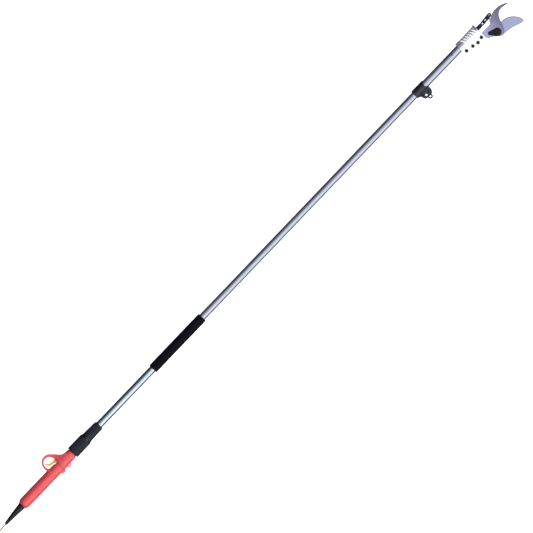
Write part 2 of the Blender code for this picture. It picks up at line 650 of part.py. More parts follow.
def hook_outline():
    """Fixed blade around the pivot: tail in the housing, hook in front."""
    upper = smooth_run(in_mm([
        (4.6, 37.5), (16, 45.4), (27, 52.8), (33.5, 57.6), (42, 60.1), (52.5, 60.7), (66.5, 59.2),
        (80.5, 55.3), (91, 50.6), (99.1, 45.2),
    ]), 2)
    mouth = smooth_run(in_mm([
        (97.3, 42.2), (87.5, 44.8), (73.5, 47.4), (63, 46.8), (54.3, 43.8), (47.3, 38.9), (42, 31.5),
        (36.8, 21), (32.2, 10.5), (28, 0), (22.8, -10.5), (17.5, -16.6), (10.5, -20.4), (1.8, -22),
    ]), 2)
    rear = smooth_run(in_mm([(-7, -16.3), (-14, -9.3), (-21, -2.8), (-28, 1.8), (-38, 5.8)]), 2)
    tail = in_mm([(-41, 15), (-50, 17.5), (-105, 19.6), (-105, 34.3), (-42, 36.6), (0, 36.4)])
    return upper + mouth + rear + tail


def blade_outline():
    """Moving blade around the pivot, with its lever towards +Y."""
    edge = smooth_run(in_mm([
        (22, 13.2), (35, 14), (42, 14.7), (52.5, 13.4), (63, 9.1), (71.8, 3.5), (80.5, -4.6),
        (87.5, -14), (92.8, -23.1), (95.2, -31.5), (94.6, -37.5), (90.3, -40.8),
    ]), 2)
    back = smooth_run(in_mm([
        (82.3, -40.3), (73.5, -37.7), (63, -33.6), (45.5, -28), (28, -24.6), (14, -22.9), (3, -21.5),
        (-6, -15.5), (-12.5, -9.5), (-15, 0), (-11.5, 12), (-4, 26), (4, 38.5), (9.5, 50), (15, 60.5),
    ]), 2)
    pin = (LINK_PIN_X - PIVOT_X, LINK_PIN_Y - PIVOT_Y)
    boss = arc(pin, 7.2 * MM, 170, 0, 8)
    side = in_mm([(27.5, 50), (23, 32), (20.5, 20)])
    return edge + back + boss + side


def make_blades():
    at = (PIVOT_X, PIVOT_Y, 0)
    hook = add("fixed_blade", prism(hook_outline(), HOOK_LOW, HOOK_HIGH), MATERIALS["steel"], at)
    bolt_hole = tool("bolt_hole", rod((0, 0), 6.2 * MM, -12 * MM, 12 * MM, 24), at)
    plate_end = (-22 * MM, 15.5 * MM)
    lock_hole = tool("lock_screw_hole", rod(plate_end, 2.3 * MM, 1 * MM, 12 * MM), at)
    cut(hook, bolt_hole, lock_hole)
    for index, (x, y) in enumerate(HOUSING_SCREWS[1:]):
        cut(hook, tool(f"tail_hole_{index}", rod((x, y), 2.8 * MM, 0, 10 * MM), (FRONT_X, 0, 0)))
    blade = add("cutting_blade", prism(blade_outline(), -BLADE_HALF, BLADE_HALF),
                MATERIALS["blade"], at)
    pin = Vector((LINK_PIN_X - PIVOT_X, LINK_PIN_Y - PIVOT_Y))
    inner_end = pin * ((pin.length - 6.2 * MM) / pin.length)
    outer_end = pin * ((pin.length + 0.4 * MM) / pin.length)
    slot = prism(capsule(inner_end, 3.9 * MM, outer_end, 3.9 * MM, 8), -4 * MM, 4 * MM)
    cut(blade, bolt_hole, tool("lever_slot", slot, at))
    plate = add("lock_plate", prism(capsule((0, 0), 14.8 * MM, plate_end, 6.8 * MM, 14), PLATE_LOW,
                                    PLATE_HIGH), MATERIALS["black_metal"], at)
    cut(plate, bolt_hole, lock_hole)
    bolt = turned_upright([
        (-8.6 * MM, 5.9 * MM), (PLATE_HIGH + GAP, 5.9 * MM), (PLATE_HIGH + GAP, 12.5 * MM),
        (13 * MM, 12.5 * MM), (14.6 * MM, 10.5 * MM),
    ], 24)
    add("pivot_bolt", bolt, MATERIALS["black_metal"], at)
    washer = turned_upright(in_mm([(-3.3, 11.5), (-2.1, 11.5)]), 24)
    nut = rod((0, 0), 10 * MM, -9 * MM, -3.6 * MM, 6)
    for name, form in (("pivot_washer", washer), ("pivot_nut", nut)):
        cut(add(name, form, MATERIALS["dark_steel"], at), bolt_hole)
    screw = turned_upright(in_mm([(3, 2.0), (10.2, 2.0), (10.2, 4.0), (12.0, 4.0), (12.6, 3.3)]))
    add("lock_screw", screw, MATERIALS["dark_steel"], (PIVOT_X - 22 * MM, PIVOT_Y + 15.5 * MM, 0))


# ---------------------------------------------------------------- drive

def make_drive():
    screw = turned([
        (SCREW_REAR, 0), (SCREW_REAR, SCREW_RADIUS), (SCREW_END - 1 * MM, SCREW_RADIUS),
        (SCREW_END, SCREW_RADIUS - 1 * MM), (SCREW_END, 0),
    ], LOW_SIDES)
    add("ball_screw", screw, MATERIALS["steel"], (HOUSING_X, 0, 0))
    nut = tube(SCREW_END - NUT_LENGTH, SCREW_END, NUT_RADIUS, SCREW_RADIUS + 0.45 * MM, 24)
    add("ball_nut", nut, MATERIALS["steel"], (HOUSING_X, 0, 0))
    at = (BAR_PIN_X, BAR_PIN_Y, 0)
    rear = HOUSING_X + SCREW_END + GAP - BAR_PIN_X
    bar = add("pull_bar", block((rear, -5.5 * MM - BAR_PIN_Y, -7.5 * MM),
                                (-8.3 * MM, 9 * MM - BAR_PIN_Y, 7.5 * MM)),
              MATERIALS["black_metal"], at)
    tongue = [(-12 * MM, -6.5 * MM), *arc((0, 0), 6.5 * MM, -90, 90, 10), (-12 * MM, 6.5 * MM)]
    join(bar, tool("bar_tongue", prism(tongue, -4 * MM, 4 * MM), at))
    bore = turned([(rear - 2 * MM, 0), (rear - 2 * MM, 4.6 * MM), (-11.6 * MM, 4.6 * MM),
                   (-11.6 * MM, 0)], LOW_SIDES)
    pin_hole = tool("bar_pin_hole", rod((0, 0), 4.1 * MM, -10 * MM, 10 * MM), at)
    cut(bar, tool("bar_bore", bore, (BAR_PIN_X, 0, 0)), pin_hole)
    pin = add("bar_pin", rod((0, 0), 3.8 * MM, -7.9 * MM, 7.9 * MM), MATERIALS["steel"], at)
    cut(pin, tool("bar_pin_bore", rod((0, 0), 2.2 * MM, -9 * MM, 9 * MM, 12), at))


def make_link():
    """Forked link; its origin is on the bar's pin and it points at the lever's pin."""
    reach = math.hypot(LINK_PIN_X - BAR_PIN_X, LINK_PIN_Y - BAR_PIN_Y)
    turn = math.degrees(math.atan2(LINK_PIN_Y - BAR_PIN_Y, LINK_PIN_X - BAR_PIN_X))
    at = (BAR_PIN_X, BAR_PIN_Y, 0)
    outline = capsule((0, 0), 7.2 * MM, (reach, 0), 7.7 * MM)
    link = add("drive_link", prism(outline, -7.5 * MM, 7.5 * MM), MATERIALS["black_metal"], at, turn)
    cutters = [
        ("link_rear_fork", block(*in_mm([(-10, -10, -4.3), (8.5, 10, 4.3)]))),
        ("link_front_fork", block((reach - 13.0 * MM, -10 * MM, -2.15 * MM),
                                  (reach + 10 * MM, 10 * MM, 2.15 * MM))),
        ("link_window", prism(capsule((13.6 * MM, 0), 2.3 * MM, (20 * MM, 0), 2.3 * MM, 6),
                              -10 * MM, 10 * MM)),
        ("link_rear_hole", rod((0, 0), 4.1 * MM, -10 * MM, 10 * MM)),
        ("link_front_hole", rod((reach, 0), 3.3 * MM, -10 * MM, 10 * MM)),
    ]
    for name, form in cutters:
        form_tool = tool(name, form, at)
        form_tool.rotation_euler = link.rotation_euler
        cut(link, form_tool)
    add("link_pin", rod((0, 0), 3.0 * MM, -8 * MM, 8 * MM), MATERIALS["steel"],
        (LINK_PIN_X, LINK_PIN_Y, 0))


# ---------------------------------------------------------------- battery lead

def add_cord(name, points):
    curve = bpy.data.curves.new(name, "CURVE")
    curve.dimensions = "3D"
    curve.bevel_depth = CORD_DIAMETER / 2
    curve.bevel_resolution = 2
    curve.use_fill_caps = True
    spline = curve.splines.new("POLY")
    spline.points.add(len(points) - 1)
    for target, point in zip(spline.points, points):
        target.co = (*point, 1.0)
    curve.materials.append(MATERIALS["cord"])
    obj = bpy.data.objects.new(name, curve)
    bpy.context.scene.collection.objects.link(obj)
    obj.parent = bpy.data.objects["shaft_axis"]


def make_cord():
    """The lead drops to the floor, winds into the coil and leaves it for the plug."""
    lying = FLOOR + CORD_DIAMETER / 2 + 0.1 * MM
    enter_y = COIL_Y - COIL_MID_RADIUS - COIL_STEP
    route = [
        (RELIEF_X - GAP, RELIEF_TIP_Y, 0), (RELIEF_X - 9 * MM, RELIEF_TIP_Y - 0.5 * MM, -0.8 * MM),
        (RELIEF_X - 18 * MM, RELIEF_TIP_Y - 1.0 * MM, -3.9 * MM),
        (RELIEF_X - 28 * MM, enter_y + 0.4 * MM, -10.3 * MM),
        (RELIEF_X - 38 * MM, enter_y + 0.1 * MM, -16.6 * MM),
        (RELIEF_X - 46 * MM, enter_y, lying + 0.7 * MM), (COIL_X + 19.6 * MM, enter_y, lying),
    ]
    add_cord("battery_cord", smooth_run(route, 1))
    coil = turned([
        (0, COIL_INNER), (0, COIL_OUTER - 1.5 * MM), (1.5 * MM, COIL_OUTER),
        (COIL_HEIGHT - 1.5 * MM, COIL_OUTER), (COIL_HEIGHT, COIL_OUTER - 1.5 * MM),
        (COIL_HEIGHT, COIL_INNER),
    ], SIDES, ring=True)
    for vert in coil.verts:
        vert.co = Vector((vert.co.z, vert.co.y, vert.co.x))
    add("cord_coil", finish(coil), MATERIALS["cord"], (COIL_X, COIL_Y, FLOOR))
    plug_z = FLOOR + PLUG_RADIUS + 0.1 * MM
    leave_y = COIL_Y + COIL_MID_RADIUS + COIL_STEP
    tail_x = COIL_X + 19.6 * MM
    add_cord("cord_tail", [(tail_x, leave_y, plug_z), (tail_x + TAIL_LENGTH / 2, leave_y, plug_z),
                           (tail_x + TAIL_LENGTH, leave_y, plug_z)])
    plug_at = (tail_x + TAIL_LENGTH + GAP, leave_y, plug_z)
    plug = turned(in_mm([
        (0, 0), (0, 3.6), (13, 6.0), (15, 7.4), (31, 7.4), (31, 5.2), (45, 5.2), (45, 0),
    ]), 24)
    add("battery_plug", plug, MATERIALS["black_plastic"], plug_at)
    ring = turned([(31.3 * MM, 5.5 * MM), (31.3 * MM, PLUG_RADIUS), (PLUG_LENGTH - 1.5 * MM, PLUG_RADIUS),
                   (PLUG_LENGTH - 1.5 * MM, 5.5 * MM)], 24, ring=True)
    add("plug_ring", ring, MATERIALS["dark_steel"], plug_at)


MATERIALS = {}


def make_materials():
    table = {
        "tool": ((0.5, 0.5, 0.5), 0.5, 0.0),
        "red": ((0.80, 0.055, 0.07), 0.42, 0.0),
        "gold": ((0.80, 0.53, 0.10), 0.35, 0.0),
        "rubber": ((0.012, 0.013, 0.016), 0.6, 0.0),
        "black_plastic": ((0.018, 0.02, 0.024), 0.45, 0.0),
        "white_plastic": ((0.7, 0.7, 0.68), 0.4, 0.0),
        "board": ((0.02, 0.16, 0.06), 0.5, 0.0),
        "foam": ((0.01, 0.01, 0.012), 0.9, 0.0),
        "aluminium": ((0.62, 0.62, 0.68), 0.33, 0.9),
        "casting": ((0.82, 0.82, 0.85), 0.4, 0.8),
        "steel": ((0.38, 0.37, 0.42), 0.35, 0.9),
        "blade": ((0.52, 0.54, 0.62), 0.28, 0.9),
        "black_metal": ((0.02, 0.02, 0.024), 0.4, 0.6),
        "dark_steel": ((0.03, 0.03, 0.034), 0.4, 0.8),
        "cord": ((0.62, 0.26, 0.09), 0.5, 0.0),
    }
    for name, values in table.items():
        MATERIALS[name] = material(name, *values)


def main():
    clear_scene()
    make_materials()
    axis = bpy.data.objects.new("shaft_axis", None)
    bpy.context.scene.collection.objects.link(axis)
    axis.location = (0, AXIS_Y, AXIS_Z)
    make_handle()
    make_strain_relief()
    make_handle_inside()
    make_lock_neck()
    make_trigger()
    make_collar()
    make_pole()
    make_clamp()
    make_hang_eye()
    make_motor_tube()
    make_housing()
    make_blades()
    make_drive()
    make_link()
    make_cord()


main()
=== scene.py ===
"""Battery pole pruner: the finished look of every piece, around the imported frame."""

import math

import bmesh
import bpy
from bpy.props import FloatProperty, FloatVectorProperty, IntProperty, PointerProperty
from bpy.types import Operator, Panel, PropertyGroup
from mathutils import Matrix, Vector, noise


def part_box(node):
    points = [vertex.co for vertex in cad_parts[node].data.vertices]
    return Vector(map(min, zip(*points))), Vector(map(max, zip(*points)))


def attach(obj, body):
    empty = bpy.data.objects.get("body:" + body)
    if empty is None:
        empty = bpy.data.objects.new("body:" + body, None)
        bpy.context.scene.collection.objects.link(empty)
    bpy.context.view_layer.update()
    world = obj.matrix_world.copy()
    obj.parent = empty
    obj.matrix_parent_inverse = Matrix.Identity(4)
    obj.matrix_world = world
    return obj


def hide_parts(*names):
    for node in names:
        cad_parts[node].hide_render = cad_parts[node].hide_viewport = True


bl_info = {
    "name": "Battery pole pruner",
    "version": (1, 0, 0),
    "blender": (4, 5, 0),
    "location": "3D View > Sidebar > Pruner",
    "description": "Gives a battery pole pruner its finished pieces and materials",
    "category": "Object",
}

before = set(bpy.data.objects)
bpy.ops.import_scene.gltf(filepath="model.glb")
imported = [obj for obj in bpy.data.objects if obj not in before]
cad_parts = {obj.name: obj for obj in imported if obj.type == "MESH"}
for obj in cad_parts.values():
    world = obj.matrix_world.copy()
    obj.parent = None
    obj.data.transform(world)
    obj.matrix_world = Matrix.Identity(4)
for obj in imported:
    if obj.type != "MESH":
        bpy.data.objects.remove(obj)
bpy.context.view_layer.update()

MM = 0.001
POLE_LOW, POLE_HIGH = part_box("pole_tube")
AXIS_Y = (POLE_LOW[1] + POLE_HIGH[1]) / 2
AXIS_Z = (POLE_LOW[2] + POLE_HIGH[2]) / 2
RELIEF_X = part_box("strain_relief")[0][0]
HANDLE_X, NOSE_X = (corner[0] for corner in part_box("handle_shell_upper"))
COLLAR_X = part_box("lock_collar")[0][0]
FOAM_X, FOAM_END = (corner[0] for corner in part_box("foam_grip"))
CLAMP_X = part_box("pole_clamp")[0][0]
FRONT_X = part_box("housing_upper")[1][0]
COIL_LOW, COIL_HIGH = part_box("cord_coil")
HANDLE_LENGTH = (NOSE_X - HANDLE_X) / MM
FOAM_LENGTH = (FOAM_END - FOAM_X) / MM


def middle(node):
    """Middle of a node's box."""
    low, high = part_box(node)
    return Vector([(a + b) / 2 for a, b in zip(low, high)])


PIVOT = middle("pivot_bolt")
BAR_PIN = middle("bar_pin")
LINK_PIN = middle("link_pin")
TRIGGER_PIN = middle("trigger_pin")
HANG_PIN = middle("hang_pin")


# ---------------------------------------------------------------- settings

def linear(code):
    """Linear colour of an sRGB hex value."""
    parts = [int(code[i:i + 2], 16) / 255 for i in (1, 3, 5)]
    return [c / 12.92 if c <= 0.04045 else ((c + 0.055) / 1.055) ** 2.4 for c in parts]


def colour(name, code, words):
    """A colour that a user may change."""
    return FloatVectorProperty(
        name=name, description=words, subtype="COLOR", size=3, min=0, max=1, default=linear(code),
    )


def length(name, metres, words):
    """A length that a user may change."""
    return FloatProperty(name=name, description=words, default=metres, unit="LENGTH")


class PrunerColours(PropertyGroup):
    """Colours of the finishes."""

    handle: colour("Handle", "#EE5156", "Moulded nylon of the handle")
    trigger: colour("Trigger", "#EBBE3E", "Moulded trigger")
    plastic: colour("Black plastic", "#0B0F14", "Collar, clamp and plug")
    clamp: colour("Clamp", "#1C1E2A", "Paint of the clamp and its eye")
    rubber: colour("Rubber", "#0A0B10", "Cord boot and seals")
    foam: colour("Foam", "#07080F", "Foam grip")
    tube: colour("Tube", "#AFB4C2", "Anodised tubes")
    slid_tube: colour("Slid tube", "#B4C0C8", "Tube where the collar polishes it")
    casting: colour("Casting", "#F4F4FA", "Blasted drive housing")
    # the hook's colour and its lighter root colour paint a reflection along it: lighter at the
    # root, darker towards the tip
    hook: colour("Hook", "#706F82", "Ground counter blade towards its tip")
    hook_painted_reflection: colour("Hook root", "#A8AAD0", "Ground counter blade at its root")
    blade: colour("Blade", "#9BA1BE", "Polished moving blade")
    black_steel: colour("Black steel", "#0E0E12", "Blackened bolts, link and bar")
    bright_steel: colour("Bright steel", "#B4B4BE", "Pins, bearing, motor and ball screw")
    lead: colour("Lead", "#D08A52", "Jacket of the battery lead")
    board: colour("Board", "#1C5A35", "Circuit board")
    acetal: colour("Acetal", "#DEDDD6", "Split collet")


class PrunerSizes(PropertyGroup):
    """Sizes that the builder of a variant would change."""

    lead_length: length("Lead length", 1.5, "Length of the battery lead")
    lead_diameter: length("Lead diameter", 0.005, "Diameter of the lead's jacket")
    collar_ribs: IntProperty(
        name="Collar ribs", description="Grip ribs round the collar", default=28, min=12,
    )
    rib_depth: length("Rib depth", 0.0011, "Depth of the grooves between the collar's ribs")
    mould_grain: length("Mould grain", 0.0010, "Mesh size of the moulded shells")
    cast_grain: length("Cast grain", 0.0008, "Mesh size of the casting")


# ---------------------------------------------------------------- shaping

# vertices nearer than these are one vertex: after shaping, and after a cut or a union
SAME_PLACE = 1e-6
SAME_AFTER_CUT = 3e-6
# face-area weight of the normals, high so that large flats stay flat beside rounded edges
FLAT_WEIGHT = 90


def in_mm(points):
    """Points given in mm, as metres."""
    return [tuple(value * MM for value in point) for point in points]


def smooth_run(points, steps=6):
    """Points of the Catmull-Rom curve through the given points, both ends included."""
    known = [Vector(point) for point in points]
    known = [2 * known[0] - known[1], *known, 2 * known[-1] - known[-2]]
    run = []
    for a, b, c, d in zip(known, known[1:], known[2:], known[3:]):
        for step in range(steps):
            t = step / steps
            bend = (2 * a - 5 * b + 4 * c - d) * t ** 2 + (3 * b - a - 3 * c + d) * t ** 3
            run.append(tuple((2 * b + (c - a) * t + bend) / 2))
    run.append(tuple(known[-2]))
    return run


def arc(centre, radius, start, end, steps):
    """Points on an arc, from the angle start to end in degrees."""
    angles = [math.radians(start + (end - start) * step / steps) for step in range(steps + 1)]
    return [(centre[0] + radius * math.cos(a), centre[1] + radius * math.sin(a)) for a in angles]


def circle(centre, radius, sides=48):
    """Outline of a full circle."""
    return arc(centre, radius, 0, 360, sides)[:-1]


def capsule(first, first_radius, second, second_radius, steps=24):
    """Outline around two circles and the lines that touch both."""
    span = Vector(second) - Vector(first)
    lean = math.degrees(math.asin((first_radius - second_radius) / span.length))
    turn = math.degrees(math.atan2(span.y, span.x))
    rear = arc(first, first_radius, turn + 90 - lean, turn + 270 + lean, steps)
    return rear + arc(second, second_radius, turn - 90 + lean, turn + 90 - lean, steps)


def cleaned(bm):
    """The body with its doubles merged and its faces pointing outwards."""
    bmesh.ops.remove_doubles(bm, verts=bm.verts, dist=SAME_PLACE)
    bmesh.ops.recalc_face_normals(bm, faces=bm.faces)
    return bm


def spun(profile, steps=96, ring=False, upright=False):
    """A body turned from (along, radius) points in mm, about X or, upright, about Z."""
    bm = bmesh.new()
    verts = [bm.verts.new((along * MM, 0, radius * MM)) for along, radius in profile]
    pairs = list(zip(verts, verts[1:])) + ([(verts[-1], verts[0])] if ring else [])
    edges = [bm.edges.new(pair) for pair in pairs]
    bmesh.ops.spin(
        bm, geom=verts + edges, cent=(0, 0, 0), axis=(1, 0, 0),
        angle=2 * math.pi, steps=steps, use_merge=True,
    )
    if upright:
        bmesh.ops.rotate(bm, verts=bm.verts, cent=(0, 0, 0),
                         matrix=Matrix.Rotation(math.radians(-90), 3, "Y"))
    return cleaned(bm)


def raised(outline, low, high, upright=True):
    """An outline in metres drawn out from low to high in mm, along Z or else along X."""
    bm = bmesh.new()
    if upright:
        face = bm.faces.new([bm.verts.new((a, b, low * MM)) for a, b in outline])
        reach = (0, 0, (high - low) * MM)
    else:
        face = bm.faces.new([bm.verts.new((low * MM, a, b)) for a, b in outline])
        reach = ((high - low) * MM, 0, 0)
    grown = bmesh.ops.extrude_face_region(bm, geom=[face])["geom"]
    moved = [item for item in grown if isinstance(item, bmesh.types.BMVert)]
    bmesh.ops.translate(bm, verts=moved, vec=reach)
    return cleaned(bm)


def disc(x, y, radius, low, high, sides=48):
    """A round upright body, all in mm."""
    return raised(circle((x * MM, y * MM), radius * MM, sides), low, high)


def block(low, high):
    """A box between two corners in mm."""
    bm = bmesh.new()
    bmesh.ops.create_cube(bm, size=1.0)
    size = [b - a for a, b in zip(low, high)]
    bmesh.ops.scale(bm, verts=bm.verts, vec=[value * MM for value in size])
    centre = [(a + b) / 2 * MM for a, b in zip(low, high)]
    bmesh.ops.translate(bm, verts=bm.verts, vec=centre)
    return bm


def at(bm, place):
    """The body moved to a place in metres."""
    bmesh.ops.translate(bm, verts=bm.verts, vec=place)
    return bm


def on_shaft(bm, x):
    """The body moved to a station on the shaft's axis."""
    return at(bm, (x, AXIS_Y, AXIS_Z))


def on_pin(bm, pin):
    """The body moved to an upright pin or screw, at the level of the shaft's axis."""
    return at(bm, (pin.x, pin.y, AXIS_Z))


def rounded(bm, radius, steps=3, angle=50):
    """Its edges that are sharper than an angle get a radius in mm."""
    sharp = [
        edge for edge in bm.edges
        if len(edge.link_faces) == 2 and edge.calc_face_angle(0) > math.radians(angle)
    ]
    bmesh.ops.bevel(
        bm, geom=sharp, offset=radius * MM, offset_type="OFFSET", segments=steps, profile=0.5,
        affect="EDGES", clamp_overlap=True, material=-1,
    )
    return cleaned(bm)


def to_object(name, bm):
    """An object in the scene with the body as its mesh; the body is freed."""
    mesh = bpy.data.meshes.new(name)
    bm.to_mesh(mesh)
    bm.free()
    obj = bpy.data.objects.new(name, mesh)
    bpy.context.scene.collection.objects.link(obj)
    return obj


def taken_back(obj):
    """The body of a working object with its modifiers applied; the object is removed."""
    bpy.context.view_layer.update()
    evaluated = obj.evaluated_get(bpy.context.evaluated_depsgraph_get())
    bm = bmesh.new()
    bm.from_mesh(evaluated.to_mesh())
    evaluated.to_mesh_clear()
    bpy.data.meshes.remove(obj.data)
    return bm


def joined(bm, operation, *others):
    """The body united with, cut by or limited to other bodies, in turn."""
    for other in others:
        target, item = to_object("work", bm), to_object("work_tool", other)
        mod = target.modifiers.new("with", "BOOLEAN")
        mod.operation = operation
        mod.object = item
        mod.solver = "EXACT"
        bm = taken_back(target)
        bpy.data.meshes.remove(item.data)
        bmesh.ops.remove_doubles(bm, verts=bm.verts, dist=SAME_AFTER_CUT)
        bmesh.ops.dissolve_degenerate(bm, dist=SAME_PLACE, edges=bm.edges)
    return bm


def cut(bm, *others):
    """The body with other bodies taken out of it, in turn."""
    return joined(bm, "DIFFERENCE", *others)


def united(bm, *others):
    """The body and others as one."""
    return joined(bm, "UNION", *others)


def moulded(bm, grain, passes, share=0.5):
    """The same body with its edges and creases softened, as they come out of a mould."""
    open_edges = [edge for edge in bm.edges if len(edge.link_faces) != 2]
    if open_edges:
        raise RuntimeError(f"{len(open_edges)} open edges in a body that has to be closed")
    work = to_object("work_mould", bm)
    remesh = work.modifiers.new("even", "REMESH")
    remesh.mode = "VOXEL"
    remesh.voxel_size = grain
    soften = work.modifiers.new("soften", "SMOOTH")
    soften.factor = 0.5
    soften.iterations = passes
    thin = work.modifiers.new("thin", "DECIMATE")
    thin.ratio = share
    return taken_back(work)


def made(name, bm, body, look, stands_for=(), angle=38, soft=False):
    """The finished piece: smooth apart from its sharp edges, on its body, in its finish."""
    obj = to_object(name, bm)
    obj.data.shade_smooth()
    obj.data.set_sharp_from_angle(angle=math.radians(angle))
    obj.data.materials.append(look)
    if not soft:
        flats = obj.modifiers.new("flats", "WEIGHTED_NORMAL")
        flats.keep_sharp = True
        flats.weight = FLAT_WEIGHT
    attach(obj, body)
    if stands_for:
        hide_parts(*stands_for)
    return obj


# ---------------------------------------------------------------- materials

def add_node(tree, kind, sockets=None, **settings):
    """One shader node with its settings, and its sockets set or linked."""
    item = tree.nodes.new(kind)
    for key, value in settings.items():
        setattr(item, key, value)
    for key, value in (sockets or {}).items():
        if isinstance(value, bpy.types.NodeSocket):
            tree.links.new(value, item.inputs[key])
        else:
            item.inputs[key].default_value = value
    return item


def finish(name, base, tone, gloss, relief, metallic=0.0, root=None, **constants):
    """A material whose tone, roughness and relief each follow a pattern.

    tone is a pattern with the darkest and lightest share of the base colour, gloss a pattern with
    the lowest and highest roughness, and relief a pattern with its height in metres. A pattern is
    the size of its features in mm and its detail, and, where it runs one way, how much it is
    drawn out and turned about Z. PORES for its detail makes it the pores of a foam. root is a
    second colour with the two places along the tool between which it gives way to the base.
    Constants are set on the shader's own sockets.
    """
    mat = bpy.data.materials.new(name)
    mat.use_nodes = True
    tree = mat.node_tree
    tree.nodes.clear()
    where = add_node(tree, "ShaderNodeTexCoord").outputs["Object"]
    fields = {}
    for pattern in (tone[0], gloss[0], relief[0]):
        if pattern in fields:
            continue
        size, detail, *run = pattern
        place = where
        if run:
            drawn_out, turn = run
            if turn:
                place = add_node(tree, "ShaderNodeMapping", {
                    "Vector": place, "Rotation": (0, 0, math.radians(turn))}).outputs["Vector"]
            place = add_node(tree, "ShaderNodeMapping", {
                "Vector": place, "Scale": (drawn_out, 1, 1)}).outputs["Vector"]
        sockets = {"Vector": place, "Scale": 1 / (size * MM)}
        if detail is PORES:
            cells = add_node(tree, "ShaderNodeTexVoronoi", sockets, feature="SMOOTH_F1")
            fields[pattern] = cells.outputs["Distance"]
        else:
            cloud = add_node(tree, "ShaderNodeTexNoise", {**sockets, "Detail": detail})
            fields[pattern] = cloud.outputs["Fac"]
    dark, light = ([min(1.0, part * share) for part in base] + [1.0] for share in tone[1:])
    tint = add_node(tree, "ShaderNodeMix", {"Factor": fields[tone[0]], "A": dark, "B": light},
                    data_type="RGBA").outputs["Result"]
    # painted reflection: a second colour that lightens the piece between two places along the tool
    if root:
        painted_reflection_colour, start, end = root
        along = add_node(tree, "ShaderNodeSeparateXYZ", {"Vector": where}).outputs["X"]
        fade = add_node(tree, "ShaderNodeMapRange",
                        {"Value": along, "From Min": start, "From Max": end},
                        interpolation_type="SMOOTHSTEP").outputs["Result"]
        tint = add_node(tree, "ShaderNodeMix",
                        {"Factor": fade, "A": [*painted_reflection_colour, 1.0], "B": tint},
                        data_type="RGBA").outputs["Result"]
    spread = add_node(tree, "ShaderNodeMapRange", {
        "Value": fields[gloss[0]], "To Min": gloss[1], "To Max": gloss[2]})
    bump = add_node(tree, "ShaderNodeBump", {
        "Height": fields[relief[0]], "Distance": relief[1], "Strength": 1.0})
    shader = add_node(tree, "ShaderNodeBsdfPrincipled", {
        "Base Color": tint, "Metallic": metallic, "Roughness": spread.outputs["Result"],
        "Normal": bump.outputs["Normal"],
        **{key.replace("_", " "): value for key, value in constants.items()}})
    add_node(tree, "ShaderNodeOutputMaterial", {"Surface": shader.outputs["BSDF"]})
    return mat


PORES = "pores"
# cool tints of the gloss on black polymer
NYLON_SHEEN = [*linear("#E7F6FF"), 1.0]
PAINT_SHEEN = [*linear("#EDF3FF"), 1.0]


def moulded_plastic(name, base, roughness, grain, relief=0.00003, **constants):
    """Polymer moulded in a spark-eroded tool; grain is its grain in mm.

    The tool leaves an even fine grain, and the melt's flow a cloudy gloss that breaks highlights.
    """
    return finish(name, base, ((71.4, 4), 0.93, 1.05),
                  ((16.7, 5), roughness - 0.05, roughness + 0.06), ((grain, 2), relief),
                  **constants)


def drawn_tube(name, base, roughness):
    """Anodised aluminium, drawn through a die and satin etched.

    The die leaves faint lines along the tube, which stretch highlights along it. Real ones are
    about 0.1 mm apart, and are drawn 1.1 mm apart so that they show.
    """
    lines = (1.11, 3, 0.006, 0)
    return finish(name, base, (lines, 0.94, 1.03), (lines, roughness - 0.05, roughness + 0.07),
                  (lines, 0.000015), metallic=1.0)


def ground_steel(name, base, roughness, turn, tone=(0.88, 1.06), root=None):
    """Steel ground or turned in one direction.

    Its marks run straight and blur highlights across them, and handling leaves duller clouds.
    Grit of 0.15 mm is drawn 0.9 mm apart so that it shows. A root colour is a painted reflection:
    it makes the steel brighter towards its root, and darker towards its tip.
    """
    marks = (0.909, 4, 0.02, turn)
    return finish(name, base, ((22.2, 5), *tone), (marks, roughness - 0.07, roughness + 0.1),
                  (marks, 0.00002), metallic=1.0, root=root)


LOOKS = {}


